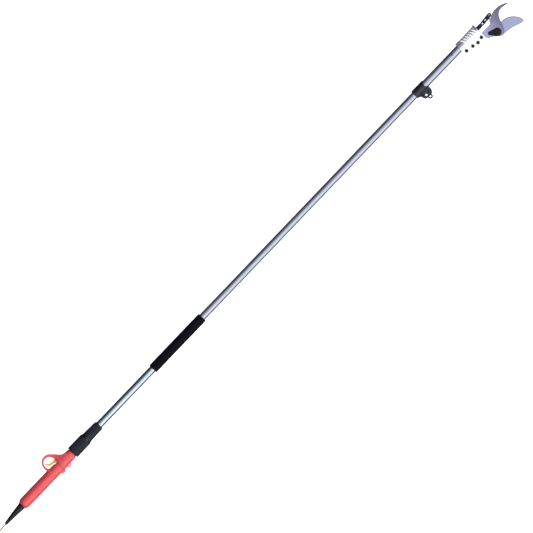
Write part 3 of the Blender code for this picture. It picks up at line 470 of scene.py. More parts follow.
def make_looks(colours):
    """All finishes, by the name that the pieces use."""
    # painted reflection on the hook: lighter towards its root, darker towards its tip
    hook_reflection_fade = (colours.hook_painted_reflection, PIVOT.x - 0.055, PIVOT.x + 0.06)
    spots = (3.85, 4)
    pores = (1.43, PORES)
    LOOKS.update({
        # nylon, moulded: satin with a soft second gloss from its polished grip
        "red": moulded_plastic("satin_red_nylon", colours.handle, 0.45, 1.2,
                               Coat_Weight=0.35, Coat_Roughness=0.4),
        # nylon, moulded in a polished tool: tight highlights on a bright lever
        "gold": moulded_plastic("gloss_gold_nylon", colours.trigger, 0.3, 1.5, 0.00001),
        # glass-filled nylon, moulded: near black with a cool, slightly rough sheen
        "black": moulded_plastic("glass_filled_black_nylon", colours.plastic, 0.3, 0.9, 0.00003,
                                 Specular_IOR_Level=0.45, Specular_Tint=NYLON_SHEEN),
        # light metal, cast and painted: dark, with a slight orange peel
        "clamp": moulded_plastic("painted_cast_clamp", colours.clamp, 0.42, 0.8, 0.00004,
                                 Specular_Tint=PAINT_SHEEN),
        # rubber, moulded: matt black with a weak cool sheen
        "rubber": moulded_plastic("matt_black_rubber", colours.rubber, 0.42, 1.6, 0.00004,
                                  Specular_IOR_Level=0.4, Specular_Tint=PAINT_SHEEN),
        # acetal, moulded: waxy off-white
        "acetal": moulded_plastic("natural_acetal", colours.acetal, 0.35, 2.0),
        # glass laminate, pressed: even green with the weave's faint grain
        "board": moulded_plastic("circuit_board_laminate", colours.board, 0.4, 1.0),
        # closed-cell foam, extruded and skinned: matt black with pores about 1.4 mm across
        "foam": finish("closed_cell_foam", colours.foam, ((11.1, 5), 0.7, 1.4),
                       (pores, 0.75, 0.97), (pores, 0.00025), Specular_IOR_Level=0.15),
        "tube": drawn_tube("satin_anodised_tube", colours.tube, 0.42),
        # the same tube where the collar has polished it
        "slid_tube": drawn_tube("tube_polished_by_sliding", colours.slid_tube, 0.24),
        # light metal, die cast, glass blasted and clear coated: near white with a fine grain;
        # pits of 0.2 mm are drawn 0.8 mm across so that they show
        "casting": finish("blasted_light_metal_casting", colours.casting,
                          ((8.33, 4), 0.95, 1.03), ((3.33, 3), 0.38, 0.5),
                          ((0.833, 3), 0.00004), metallic=0.8, Coat_Weight=0.1),
        # steel, ground: a painted reflection makes it lighter towards its root and darker towards
        # its tip
        "hook": ground_steel("ground_hook_steel", colours.hook, 0.42, 35, root=hook_reflection_fade),
        "blade": ground_steel("polished_blade_steel", colours.blade, 0.34, -28, (0.94, 1.05)),
        # steel, blackened in a hot oxide bath and oiled: dark, slightly mottled, with a wet gloss
        "oxide": finish("black_oxide_steel", colours.black_steel, (spots, 0.75, 1.4),
                        (spots, 0.3, 0.5), ((0.667, 2), 0.00001), metallic=0.75,
                        Coat_Weight=0.2),
        "bright": ground_steel("turned_bright_steel", colours.bright_steel, 0.3, 90),
        # polyurethane, extruded over the lead: soft gloss with faint scuffs
        "lead": finish("polyurethane_lead_jacket", colours.lead, ((11.1, 4), 0.9, 1.08),
                       ((2.5, 3), 0.36, 0.52), ((0.833, 2), 0.00002), Coat_Weight=0.1),
    })


# ---------------------------------------------------------------- stage

CAMERA_ROLL = -46.274
CAMERA_PLACE = (0.0155, -0.0228, 5.0)
CAMERA_WIDTH = 1.8655
CAMERA_CLIP = 30

# soft panels side by side round the tool's length: degrees from overhead towards the blade's
# side, degrees across, radiance
PANELS = (
    ("key", 47.5, 35, 2.2), ("top", 10, 40, 1.3), ("fill", -22.5, 25, 0.6),
    ("far_fill", -47.5, 25, 0.12), ("low", 80, 30, 0.5),
)
PANEL_REACH = 3.0
PANEL_LENGTH = 8.0
ROOM_COLOUR = "#CBD7FF"
ROOM_LIGHT = 0.09
FLOOR_COLOUR = "#F6F6F6"
FLOOR_HALF = 4.0


def soft_panel(name, turn, across, radiance):
    """A long soft light that faces the tool from a turn about its length."""
    light = bpy.data.lights.new(name, "AREA")
    light.shape = "RECTANGLE"
    light.size = PANEL_LENGTH
    light.size_y = 2 * PANEL_REACH * math.tan(math.radians(across / 2))
    light.energy = radiance * math.pi * light.size * light.size_y
    obj = bpy.data.objects.new(name, light)
    angle = math.radians(turn)
    obj.location = (0, -PANEL_REACH * math.sin(angle), PANEL_REACH * math.cos(angle))
    obj.rotation_euler = (angle, 0, 0)
    bpy.context.scene.collection.objects.link(obj)


def make_stage():
    """Camera above the tool, pale floor, soft light from the blade's side."""
    scene = bpy.context.scene
    camera = bpy.data.cameras.new("camera")
    camera.type = "ORTHO"
    camera.ortho_scale = CAMERA_WIDTH
    camera.clip_end = CAMERA_CLIP
    eye = bpy.data.objects.new("camera", camera)
    eye.location = CAMERA_PLACE
    eye.rotation_euler = (0, 0, math.radians(CAMERA_ROLL))
    scene.collection.objects.link(eye)
    scene.camera = eye
    scene.view_settings.view_transform = "Standard"

    world = bpy.data.worlds.new("studio")
    world.use_nodes = True
    room = world.node_tree.nodes["Background"]
    room.inputs["Color"].default_value = [*linear(ROOM_COLOUR), 1.0]
    room.inputs["Strength"].default_value = ROOM_LIGHT
    scene.world = world
    for panel in PANELS:
        soft_panel(*panel)

    bm = bmesh.new()
    bmesh.ops.create_grid(bm, x_segments=1, y_segments=1, size=FLOOR_HALF)
    floor = to_object("floor", bm)
    paper = bpy.data.materials.new("pale_floor")
    paper.use_nodes = True
    paper.node_tree.nodes.clear()
    # matt paper lit from behind, so that it stays even and without a hard shadow
    shader = add_node(paper.node_tree, "ShaderNodeBsdfPrincipled", {
        "Base Color": [*linear(FLOOR_COLOUR), 1.0], "Roughness": 0.9,
        "Emission Color": (1, 1, 1, 1), "Emission Strength": 1.0})
    add_node(paper.node_tree, "ShaderNodeOutputMaterial", {"Surface": shader.outputs["BSDF"]})
    floor.data.materials.append(paper)
    floor.visible_glossy = False
    floor.visible_diffuse = False


# ---------------------------------------------------------------- battery lead

# the boot's tip is bent this far to one side, in mm
BOOT_BEND = 3.15
# strands lie this far apart in the coil, side by side and one above another, in mm
STRAND_STEP = 5.2
LAYER_RISE = 4.95
COIL_TURNS = 7.5
POINTS_A_TURN = 32
# place of each turn in the coil: strands out from its middle, layer
COIL_PLACES = [(1, 0), (0, 0), (-1, 0), (-1, 1), (0, 1), (1, 1), (0, 2), (1, 2)]
# share of a turn after which the lead crosses to its next place
CROSS_AT = 0.86
# from the boot's tip down to the floor: (along, up) in mm
LEAD_DROP = [(0, 0), (-9, -0.8), (-18, -3.9), (-28, -10.3), (-38, -16.6), (-46, -19.8)]
# radius of the coupling ring in its knurl's grooves, as a share of its rim's
KNURL = 0.965


def eased(share):
    """A share from 0 to 1 that starts and ends gently."""
    return share * share * (3 - 2 * share)


def lead_route(radius, low):
    """Down from the boot, into the coil turn by turn, and out of it to the plug."""
    mid_x = (COIL_LOW[0] + COIL_HIGH[0]) / 2
    mid_y = (COIL_LOW[1] + COIL_HIGH[1]) / 2
    step = STRAND_STEP * MM
    mean = (COIL_HIGH[0] - COIL_LOW[0]) / 2 - step - radius - 0.2 * MM
    tip = Vector((RELIEF_X, AXIS_Y - BOOT_BEND * MM, AXIS_Z))
    enter_y = mid_y - mean - step
    start = []
    for index, (x, z) in enumerate(LEAD_DROP):
        share = index / (len(LEAD_DROP) - 1)
        start.append((tip.x + x * MM, tip.y + (enter_y - tip.y) * share, tip.z + z * MM))
    start.append((mid_x + 19.6 * MM, enter_y, low))
    turns = []
    for index in range(int(COIL_TURNS * POINTS_A_TURN) + 1):
        turn = index / POINTS_A_TURN
        now = min(int(turn), len(COIL_PLACES) - 1)
        across = eased(max(0.0, (turn - now - CROSS_AT) / (1 - CROSS_AT)))
        (side, level), after = COIL_PLACES[now], COIL_PLACES[min(now + 1, len(COIL_PLACES) - 1)]
        side += (after[0] - side) * across
        level += (after[1] - level) * across
        angle = math.radians(-90) - 2 * math.pi * turn
        reach = mean + side * step
        turns.append((mid_x + reach * math.cos(angle), mid_y + reach * math.sin(angle),
                      low + level * LAYER_RISE * MM))
    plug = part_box("battery_plug")[0]
    rise = middle("battery_plug").z - turns[-1][2]
    last = turns[-1]
    end = [(last[0] + (plug[0] - last[0]) * share, last[1], last[2] + rise * eased(share))
           for share in (0.25, 0.5, 0.75, 1.0)]
    return smooth_run(start, 4) + turns + end


def make_lead(sizes):
    """The lead as one curve, with its plug and the plug's coupling ring."""
    radius = sizes.lead_diameter / 2
    points = lead_route(radius, radius + 0.1 * MM)
    curve = bpy.data.curves.new("lead", "CURVE")
    curve.dimensions = "3D"
    curve.bevel_depth = radius
    curve.bevel_resolution = 3
    curve.use_fill_caps = True
    spline = curve.splines.new("POLY")
    spline.points.add(len(points) - 1)
    for target, point in zip(spline.points, points):
        target.co = (*point, 1)
    curve.materials.append(LOOKS["lead"])
    lead = bpy.data.objects.new("battery_lead", curve)
    bpy.context.scene.collection.objects.link(lead)
    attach(lead, "handle")
    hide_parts("battery_cord", "cord_coil", "cord_tail")

    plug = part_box("battery_plug")[0]
    centre = middle("battery_plug")
    profile = [(0, 0), (0, 2.9), (0.5, 3.6), (2, 4.0)]
    for groove in range(4):
        along = 3.2 + 2.4 * groove
        deep = 3.6 + 0.42 * groove
        profile += [(along, deep + 0.8), (along + 1.2, deep + 1.0), (along + 1.3, deep + 0.1),
                    (along + 2.2, deep + 0.3)]
    profile += [(13, 6.0), (15, 7.2), (15.6, 7.4), (30.6, 7.4), (31, 7.0), (31, 5.2), (44.6, 5.2),
                (45, 4.8), (45, 0)]
    shell = spun(profile, 64)
    holes = []
    for angle in (90, 210, 330):
        x, y = arc((0, 0), 2.6 * MM, angle, angle, 1)[0]
        holes.append(at(spun([(34, 0), (34, 0.7), (46, 0.7), (46, 0)], 16), (0, x, y)))
    shell = at(cut(shell, *holes), (plug[0], centre.y, centre.z))
    body = made("lead_plug", shell, "handle", LOOKS["black"], ["battery_plug"])
    low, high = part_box("plug_ring")
    width = (high[0] - low[0]) / MM
    ring = spun([(0, 5.5), (0, 7.4), (0.6, 8), (width - 0.6, 8), (width, 7.4), (width, 5.5)],
                120, ring=True)
    for vert in ring.verts:
        reach = math.hypot(vert.co.y, vert.co.z)
        place = round(math.degrees(math.atan2(vert.co.y, vert.co.z)) / 3)
        # knurl: every second edge of the rim is let in
        if reach > 7.9 * MM and place % 2:
            vert.co.y *= KNURL
            vert.co.z *= KNURL
    nut = made("plug_coupling_ring", at(ring, (low[0], centre.y, centre.z)), "handle",
               LOOKS["oxide"], ["plug_ring"])


# ---------------------------------------------------------------- handle

GUARD_OUTER = [
    (-107.0, 20), (-108.4, 34), (-104.5, 47.5), (-95.5, 58.5), (-84, 62.9), (-73.5, 62.6),
    (-63, 58.5), (-52.5, 48.6), (-42, 36.5), (-35, 28), (-27, 22.3), (-15, 20),
]
GUARD_INNER = [
    (-99.5, 23.4), (-101.7, 31), (-99.9, 41.6), (-94.5, 49.9), (-85.8, 54.3), (-75.3, 53),
    (-66.3, 48), (-60.8, 39), (-58.8, 30),
]
# half thickness of the guard: it swells where it meets the barrel
GUARD_FLANK = [
    (5, 20), (12, 17.8), (19, 14.8), (26, 12.2), (34, 10), (44, 8.4), (56, 7.8), (70, 7.8),
]
# the hand stop's ring leans back towards the trigger's side
RIDGE_LEAN = 0.25
STOP_BUMP = [
    (-79, -15), (-76.5, -22.5), (-71.5, -26.8), (-67, -27.7), (-62, -25.5), (-57, -19.5),
    (-55, -15),
]
EYELET = (-38.5, -22.05)
# half of the gap between the handle's halves, and a height that no half reaches
SEAM = 0.15
BEYOND = 60
HANDLE_SCREWS = ("handle_screw_rear_left", "handle_screw_rear_right", "handle_screw_guard")


def handle_body():
    """Both halves in one: barrel, guard, stop ring with its bump, and eyelet, hollow inside."""
    end = HANDLE_LENGTH
    rear = [(-0.25, 14.2), (0.6, 15.2), (2, 16.6), (4.5, 18.3), (8, 19.8), (12, 20.5), (17, 20.7)]
    nose = [(end - 70, 20.7), (end - 45, 20.3), (end - 22, 19.6), (end - 6, 19.2), (end - 2, 18.8),
            (end, 17.9)]
    barrel = on_shaft(spun([(-0.25, 0), *rear, *nose, (end, 0)], 112), HANDLE_X)
    outline = smooth_run(in_mm(GUARD_OUTER)) + in_mm([(-15, 8), (-107, 8)])
    loop = smooth_run(in_mm(GUARD_INNER)) + in_mm([(-58.8, 8), (-99, 8)])
    flank = in_mm(GUARD_FLANK + [(y, -z) for y, z in reversed(GUARD_FLANK)])
    guard = joined(raised(outline, -24, 24), "INTERSECT", raised(flank, -120, 0, upright=False))
    guard = cut(guard, raised(loop, -26, 26))
    ring = spun([(-63.5, 17), (-63.5, 20), (-61.6, 21.4), (-59.8, 22.9), (-57.2, 22.9),
                 (-55.4, 21.4), (-53.5, 20), (-53.5, 17)], 112, ring=True)
    for vert in ring.verts:
        vert.co.x += RIDGE_LEAN * vert.co.y
    band = in_mm([(-61.3, 0), (-55.7, 0), (-55.7, 30), (-61.3, 30)])
    band = [(x + RIDGE_LEAN * y, y) for x, y in band]
    proud = in_mm([(y, z + 2) for y, z in GUARD_FLANK]
                  + [(y, -z - 2) for y, z in reversed(GUARD_FLANK)])
    ridge = joined(raised(band, -23, 23), "INTERSECT", raised(proud, -120, 0, upright=False))
    bump = rounded(raised(smooth_run(in_mm(STOP_BUMP)), -9, 9), 2.5)
    eyelet = rounded(disc(*EYELET, 7.4, -4.2, 4.2), 1.4)
    parts = [on_shaft(bm, NOSE_X) for bm in (guard, ring, ridge, bump, eyelet)]
    body = united(barrel, *parts)
    hollow = spun([(13, 0), (13, 16), (18, 18.2), (end - 9, 18.2), (end - 9, 16.7), (end + 5, 16.7),
                   (end + 5, 0)], 96)
    bore = spun([(-5, 0), (-5, 7.8), (20, 7.8), (20, 0)], 48)
    flat = raised(in_mm([(-58.8, 30), (-58.8, 17.2), (-71.5, 17.2), (-74, 19.8), (-95, 19.8),
                         (-99, 24), (-99, 30)]), -13, 13)
    slots = [block((-70.5, 15, -6.9), (-57.5, 28, 6.9)), block((-60, 15, -4.4), (-46, 34.5, 4.4)),
             disc(*EYELET, 2.9, -9, 9)]
    tools = [on_shaft(hollow, HANDLE_X), on_shaft(bore, HANDLE_X)]
    tools += [on_shaft(bm, NOSE_X) for bm in (flat, *slots)]
    return cut(body, *tools)


def make_handle(sizes):
    """The two moulded halves, the seam between them at the level of the axis."""
    body = moulded(handle_body(), sizes.mould_grain, 6)
    low = Vector((HANDLE_X - 0.02, AXIS_Y - 0.1, 0)) / MM
    high = Vector((NOSE_X + 0.02, AXIS_Y + 0.1, 0)) / MM
    for name, side in (("handle_shell_upper", 1), ("handle_shell_lower", -1)):
        seam, far = sorted((AXIS_Z / MM + SEAM * side, AXIS_Z / MM + BEYOND * side))
        room = block((low.x, low.y, seam), (high.x, high.y, far))
        half = joined(body.copy(), "INTERSECT", room)
        holes = []
        for screw in HANDLE_SCREWS:
            seat = (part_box(screw)[0][2] - AXIS_Z) / MM + 2.2
            hole = spun([(-45, 0), (-45, 3.2), (seat, 3.2), (seat, 1.8), (6, 1.8), (6, 0)], 32,
                        upright=True)
            holes.append(on_pin(hole, middle(screw)))
        half = cut(half, *holes)
        made(f"{name}_moulding", half, "handle", LOOKS["red"], [name], angle=50,
             soft=True)
    body.free()


def make_boot():
    """Tapered cord boot with a lipped mouth and shallow flex grooves, bent a little sideways."""
    mouth = 87.2
    profile = [(1.5, 0), (1.5, 2.65), (0, 2.9), (0, 5.1), (0.7, 5.75), (3.2, 6.0), (3.8, 5.75)]
    for groove in range(9):
        along = 8 + 6.2 * groove
        reach = 5.7 + 0.086 * along
        profile += [(along, reach), (along + 0.5, reach - 0.45), (along + 1.5, reach - 0.4),
                    (along + 2.1, reach + 0.15)]
    profile += [(68, 11.4), (76, 12.0), (81, 12.6), (84.5, 13.6), (mouth - 0.4, 14.3),
                (mouth, 14.2), (mouth, 7.5), (101.2, 7.5), (101.2, 11), (104.2, 11), (104.2, 0)]
    bm = spun(profile, 72)
    for vert in bm.verts:
        share = max(0.0, 1 - vert.co.x / (mouth * MM))
        vert.co.y -= BOOT_BEND * MM * share ** 2
    made("cord_boot", on_shaft(bm, RELIEF_X), "handle", LOOKS["rubber"], ["strain_relief"])


def make_trigger():
    """Finger lever with soft edges, its root around the pin."""
    top = [(-4.8, 5.8), (-13.7, 4.3), (-22.4, 4.6), (-29.4, 6.9), (-35.7, 11.4), (-40.3, 17.4)]
    under = [(-42.4, 16.0), (-41.2, 11.0), (-36.8, 3.4), (-31.2, -0.6), (-22.4, -2.6),
             (-15.4, -4.4), (-11.2, -7.2), (-4.8, -9.4)]
    outline = smooth_run(in_mm(top), 5) + smooth_run(in_mm(under), 5)
    pad = rounded(raised(outline, -6.5, 6.5), 2.4, 5)
    root = in_mm([(-10, 5.2), (-10, -3.5), (-5, -6.5), (0, -6)])
    root += arc((0, 0), 5.4 * MM, -60, 90, 16)
    lever = united(pad, rounded(raised(root, -4, 4), 0.5, 2))
    lever = cut(lever, disc(0, 0, 1.8, -9, 9), block((-4.4, -9, -1.8), (7, 9, 1.8)))
    place = (TRIGGER_PIN.x, TRIGGER_PIN.y, AXIS_Z)
    made("trigger_lever", at(lever, place), "trigger_lever", LOOKS["gold"],
         ["trigger"])


# ---------------------------------------------------------------- collar

# depth of a groove across one rib, as a share of its full depth
RIB_SHAPE = (0.0, 0.0, 0.0, 0.1, 0.65, 1.0, 0.65, 0.1, 0.0, 0.0)
# the slim front's grooves are this much shallower
FRONT_RIB_SHARE = 0.7


def make_collar(sizes):
    """Twist collar: grip ribs round its wide rear, finer ones on the slim front."""
    outer = [(0, 21.6), (0.3, 22.3), (1.2, 23.0), (2, 23.1), (20, 23.1), (42, 23.1), (60, 23.1),
             (62.5, 23.0), (65, 22.5), (68, 21.3), (71, 20.1), (73.5, 19.4), (77, 19.1), (95, 18.6),
             (112, 18.1), (127, 17.65), (130.5, 17.3), (133, 16.5), (134.5, 15.4), (135, 14.6)]
    inner = [(135, 13.6), (133.2, 13.6), (133.2, 15.3), (129.5, 15.3), (129.5, 13.8), (126, 13.8),
             (117, 16.1), (62, 16.1), (60, 17.0), (0, 17.0)]
    per_rib = len(RIB_SHAPE)
    bm = spun(outer + inner, sizes.collar_ribs * per_rib, ring=True)
    for vert in bm.verts:
        reach = math.hypot(vert.co.y, vert.co.z)
        along = vert.co.x / MM
        on_rear = 1.5 < along < 63 and reach > 20 * MM
        on_front = 76 < along < 131 and reach > 17 * MM
        if on_rear or on_front:
            turn = math.atan2(vert.co.y, vert.co.z) / (2 * math.pi) * sizes.collar_ribs
            place = round((turn % 1) * per_rib) % per_rib
            depth = sizes.rib_depth * RIB_SHAPE[place] * (1.0 if on_rear else FRONT_RIB_SHARE)
            vert.co.y *= 1 - depth / reach
            vert.co.z *= 1 - depth / reach
    made("twist_collar", on_shaft(bm, COLLAR_X), "twist_collar", LOOKS["black"],
         ["lock_collar"], angle=55)


# ---------------------------------------------------------------- pole

# radius of a tube's deburred ends, in mm
TUBE_DEBURR = 0.4


def tube_piece(name, start, end, outer, inner, body, look, stands_for, stations=()):
    """A tube with its ends deburred, and a ring of edges at each of the stations."""
    size = (end - start) / MM
    soft = TUBE_DEBURR
    between = [(x - start) / MM for x in stations]
    profile = [(0, inner + soft), (0, outer - soft), (soft, outer), *((x, outer) for x in between),
               (size - soft, outer), (size, outer - soft), (size, inner + soft),
               (size - soft, inner), *((x, inner) for x in reversed(between)), (soft, inner)]
    return made(name, on_shaft(spun(profile, 112, ring=True), start), body, look, stands_for)


def make_pole():
    """The tube, bright where it slides through the collar and satin above the foam."""
    under_foam = (FOAM_X + FOAM_END) / 2
    obj = tube_piece("telescoping_tube", POLE_LOW[0], POLE_HIGH[0], 13.1, 11.6, "pole",
                     LOOKS["tube"], ["pole_tube"], stations=(under_foam,))
    obj.data.materials.append(LOOKS["slid_tube"])
    for face in obj.data.polygons:
        face.material_index = int(face.center.x < under_foam)


# dents of the foam's skin: waves to the metre, and depth in mm
FOAM_WAVE = 70
FOAM_DENT = 0.16


def make_foam():
    """Foam sleeve, its skin a little uneven, its ends cut square and rounded."""
    rings = 64
    outer = [(FOAM_LENGTH * k / rings, 17.85) for k in range(1, rings)]
    profile = [(0, 13.4), (0, 16.2), (0.5, 17.0), (1.4, 17.6), *outer, (FOAM_LENGTH - 1.4, 17.6),
               (FOAM_LENGTH - 0.5, 17.0), (FOAM_LENGTH, 16.2), (FOAM_LENGTH, 13.4)]
    bm = on_shaft(spun(profile, 112, ring=True), FOAM_X)
    for vert in bm.verts:
        off = Vector((0, vert.co.y - AXIS_Y, vert.co.z - AXIS_Z))
        if off.length > 15.5 * MM:
            wave = noise.noise(vert.co * FOAM_WAVE) + 0.5 * noise.noise(vert.co * 3 * FOAM_WAVE)
            vert.co -= off.normalized() * FOAM_DENT * MM * (1 + wave)
    made("foam_sleeve", bm, "pole", LOOKS["foam"], ["foam_grip"], angle=60)


# ---------------------------------------------------------------- clamp

def make_clamp(sizes):
    """Split clamp with two ears; soft edges, raised rims round its holes."""
    ring = spun([(0, 13.4), (0, 16.3), (1.2, 17.15), (56, 17.15), (56, 13.4)], 96, ring=True)
    left = smooth_run(in_mm([(4, -12), (7.5, -17.5), (11.5, -21), (13.2, -28), (17, -36),
                             (24, -40)]))
    right = smooth_run(in_mm([(42, -40), (50, -37.3), (54.5, -31), (56.8, -22.8), (56, -12)]))
    ears = rounded(raised(left + right, -8, 8), 1.3)
    rims = []
    for x, y, radius in ((29.1, -29, 5.9), (44.1, -26.6, 4.6), (19.6, -22.8, 5.4)):
        rims.append(disc(x, y, radius, -8.3, 8.3))
    body = united(ring, ears, *rims)
    bore = spun([(-2, 0), (-2, 13.5), (40.3, 13.5), (40.3, 14.5), (60, 14.5), (60, 0)], 96)
    slit = block((-2, -60, -2.8), (62, -12, 2.8))
    scallop = joined(disc(67, 0, 19, -20, 20, 72), "INTERSECT",
                     block((40, -11, -30), (70, 20, 30)))
    holes = [disc(x, y, radius, -12, 12)
             for x, y, radius in ((29.1, -29, 3.75), (44.1, -26.6, 2.3), (19.6, -22.8, 2.5))]
    body = cut(body, bore, slit, scallop, *holes)
    body = moulded(body, sizes.cast_grain, 2)
    made("split_clamp", on_shaft(body, CLAMP_X), "pole", LOOKS["clamp"],
         ["pole_clamp"], angle=80, soft=True)


def make_hang_eye():
    """Tongue between the ears, with an oval eye for a rope."""
    eye = (-8.4 * MM, -16.1 * MM)
    body = rounded(raised(capsule((0, 0), 5.5 * MM, eye, 8.8 * MM, 32), -2.4, 2.4), 1.1)
    oval = [(eye[0] + 0.84 * x + 0.28 * y, eye[1] - 0.4 * x + 0.6 * y)
            for x, y in circle((0, 0), 3.9 * MM)]
    body = cut(body, raised(oval, -4, 4), disc(0, 0, 2.3, -4, 4))
    body = rounded(body, 0.7, 2, 75)
    made("hanging_eye_tongue", on_pin(body, HANG_PIN), "hanging_eye",
         LOOKS["clamp"], ["hang_eye"])


# ---------------------------------------------------------------- head

HOUSING_PLAN = [
    (-91, -18), (-87, -30), (-80, -34.6), (-70, -36.3), (-60, -38.5), (-46, -41), (-32, -42.7),
    (-18, -43.6), (-8, -46.3), (0, -49.6),
]
HOUSING_SCREWS = [(-81.2, -24.5), (-53.9, -29), (-32.9, -33.3), (-11.2, -29.4)]
SMOOTH_SIDE = [(24, 3), (19, 6), (12.5, 11.5), (5.5, 17.6), (-1, 20.3), (-6, 20.6)]
RIB_SIDE = [(24, 13), (20.3, 15.5), (18, 18.5), (12.5, 20.6), (5.5, 20.9), (-6, 20.9)]


def housing_half(side, grain):
    """One half of the casting: barrel, slanting ribs, flange for the screws, feet below."""
    split = 2.1 if side > 0 else -1.8
    near = SMOOTH_SIDE + ([(-11, 18.6), (-19, 14), (-24, 12), (-52, 12)] if side > 0
                          else [(-36, 20.6), (-50, 12)])
    ribbed = RIB_SIDE + [(-11, 18.6), (-52, 12)]
    if side < 0:
        ribbed = [(24, 13), (18, 20), (12.5, 23.1), (-8, 23.1), (-30, 21), (-50, 12)]
    sections = []
    for shape in (near, ribbed):
        line = [(24, side * split), *((y, side * z) for y, z in shape), (-52, side * split)]
        sections.append(in_mm(line))
    barrel = raised(sections[0], -93.1, 0, upright=False)
    ribs = []
    for index in range(7):
        x = -77 + 10.5 * index
        outline = in_mm([(x, 24), (x + 6.2, 24), (x + 24.92, -12), (x + 18.72, -12)])
        low, high = sorted((side * 4, side * 30))
        skin = raised(sections[1], -89, -7, upright=False)
        ribs.append(joined(raised(outline, low, high), "INTERSECT", skin))
    body = united(barrel, *ribs)
    plan = [(-93.1 * MM, -16 * MM)] + smooth_run(in_mm(HOUSING_PLAN))
    plan += in_mm([(0, 22.6), (-5.2, 22.6), (-6, 20.3), (-72, 19.2), (-74.2, 20.6), (-93.1, 20.6)])
    body = joined(body, "INTERSECT", raised(plan, -30, 30))
    tools = [
        spun([(-95, 0), (-95, 14.5), (-80.8, 14.5), (-80.8, 0)], 96),
        spun([(-82, 0), (-82, 10.3), (-34, 10.3), (-34, 0)], 72),
        block((-82, -6.6, -8.2), (4, 10.2, 8.2)),
    ]
    if side > 0:
        tools.append(block((-66, -60, -2.9), (4, -18.8, 7.4)))
        rims = [disc(x, y, 7.4, 6, 12.25) for x, y in HOUSING_SCREWS]
        body = united(body, *[joined(rim, "INTERSECT", raised(plan, -30, 30)) for rim in rims])
    else:
        feet = [disc(x, y, 7, -AXIS_Z / MM, -18) for x, y in HOUSING_SCREWS]
        body = united(body, *feet)
    tools += [disc(x, y, 2.7, -15, 16) for x, y in HOUSING_SCREWS]
    return moulded(cut(body, *tools), grain, 2)


def make_housing(sizes):
    """Both halves of the casting."""
    for name, side in (("housing_upper", 1), ("housing_lower", -1)):
        half = on_shaft(housing_half(side, sizes.cast_grain), FRONT_X)
        made(f"{name}_casting", half, "pole", LOOKS["casting"], [name], angle=80,
             soft=True)


def make_motor_tube():
    """The wider tube that holds the drive."""
    low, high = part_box("motor_tube")
    tube_piece("drive_tube", low[0], high[0], 14.2, 12.2, "pole", LOOKS["tube"],
               ["motor_tube"])


HOOK_TOP = [
    (4.6, 37.5), (16, 45.4), (27, 52.8), (33.5, 57.6), (42, 60.1), (52.5, 60.7), (66.5, 59.2),
    (80.5, 55.3), (91, 50.6), (99.1, 45.2),
]
HOOK_MOUTH = [
    (97.3, 42.2), (87.5, 44.8), (73.5, 47.4), (63, 46.8), (54.3, 43.8), (47.3, 38.9), (42, 31.5),
    (36.8, 21), (32.2, 10.5), (28, 0), (22.8, -10.5), (17.5, -16.6), (10.5, -20.4), (1.8, -22),
]
HOOK_REAR = [(-7, -16.3), (-14, -9.3), (-21, -2.8), (-28, 1.8), (-38, 5.8)]
HOOK_TAIL = [(-41, 15), (-50, 17.5), (-105, 19.6), (-105, 34.3), (-42, 36.6), (0, 36.4)]
EDGE_LINE = [
    (22, 13.2), (35, 14), (42, 14.7), (52.5, 13.4), (63, 9.1), (71.8, 3.5), (80.5, -4.6),
    (87.5, -14), (92.8, -23.1), (95.2, -31.5), (94.6, -37.5), (90.3, -40.8),
]
BACK_LINE = [
    (82.3, -40.3), (73.5, -37.7), (63, -33.6), (45.5, -28), (28, -24.6), (14, -22.9), (3, -21.5),
    (-6, -15.5), (-12.5, -9.5), (-15, 0), (-11.5, 12), (-4, 26), (4, 38.5), (9.5, 50), (15, 60.5),
]


# width in mm of the bevel ground along the moving blade's edge, and the points over which it
# runs out at each end
BEVEL_WIDTH = 5.5
BEVEL_RUN_OUT = 8
# hook and plate share the lock screw's place, in mm from the pivot
LOCK_SCREW = (-22, 15.5)


def make_hook():
    """Counter blade with a chamfer all round its upper face."""
    outline = smooth_run(in_mm(HOOK_TOP)) + smooth_run(in_mm(HOOK_MOUTH))
    outline += smooth_run(in_mm(HOOK_REAR)) + in_mm(HOOK_TAIL)
    hook = rounded(raised(outline, 2.1, 7.1), 1.0, 1)
    holes = [disc(0, 0, 6.2, -12, 12),
             disc(*LOCK_SCREW, 2.3, 1, 12)]
    back = (FRONT_X - PIVOT.x) / MM
    side = (AXIS_Y - PIVOT.y) / MM
    for x, y in HOUSING_SCREWS[1:]:
        holes.append(disc(back + x, side + y, 2.8, 0, 10))
    made("hook_blade", on_pin(cut(hook, *holes), PIVOT), "pole", LOOKS["hook"],
         ["fixed_blade"])


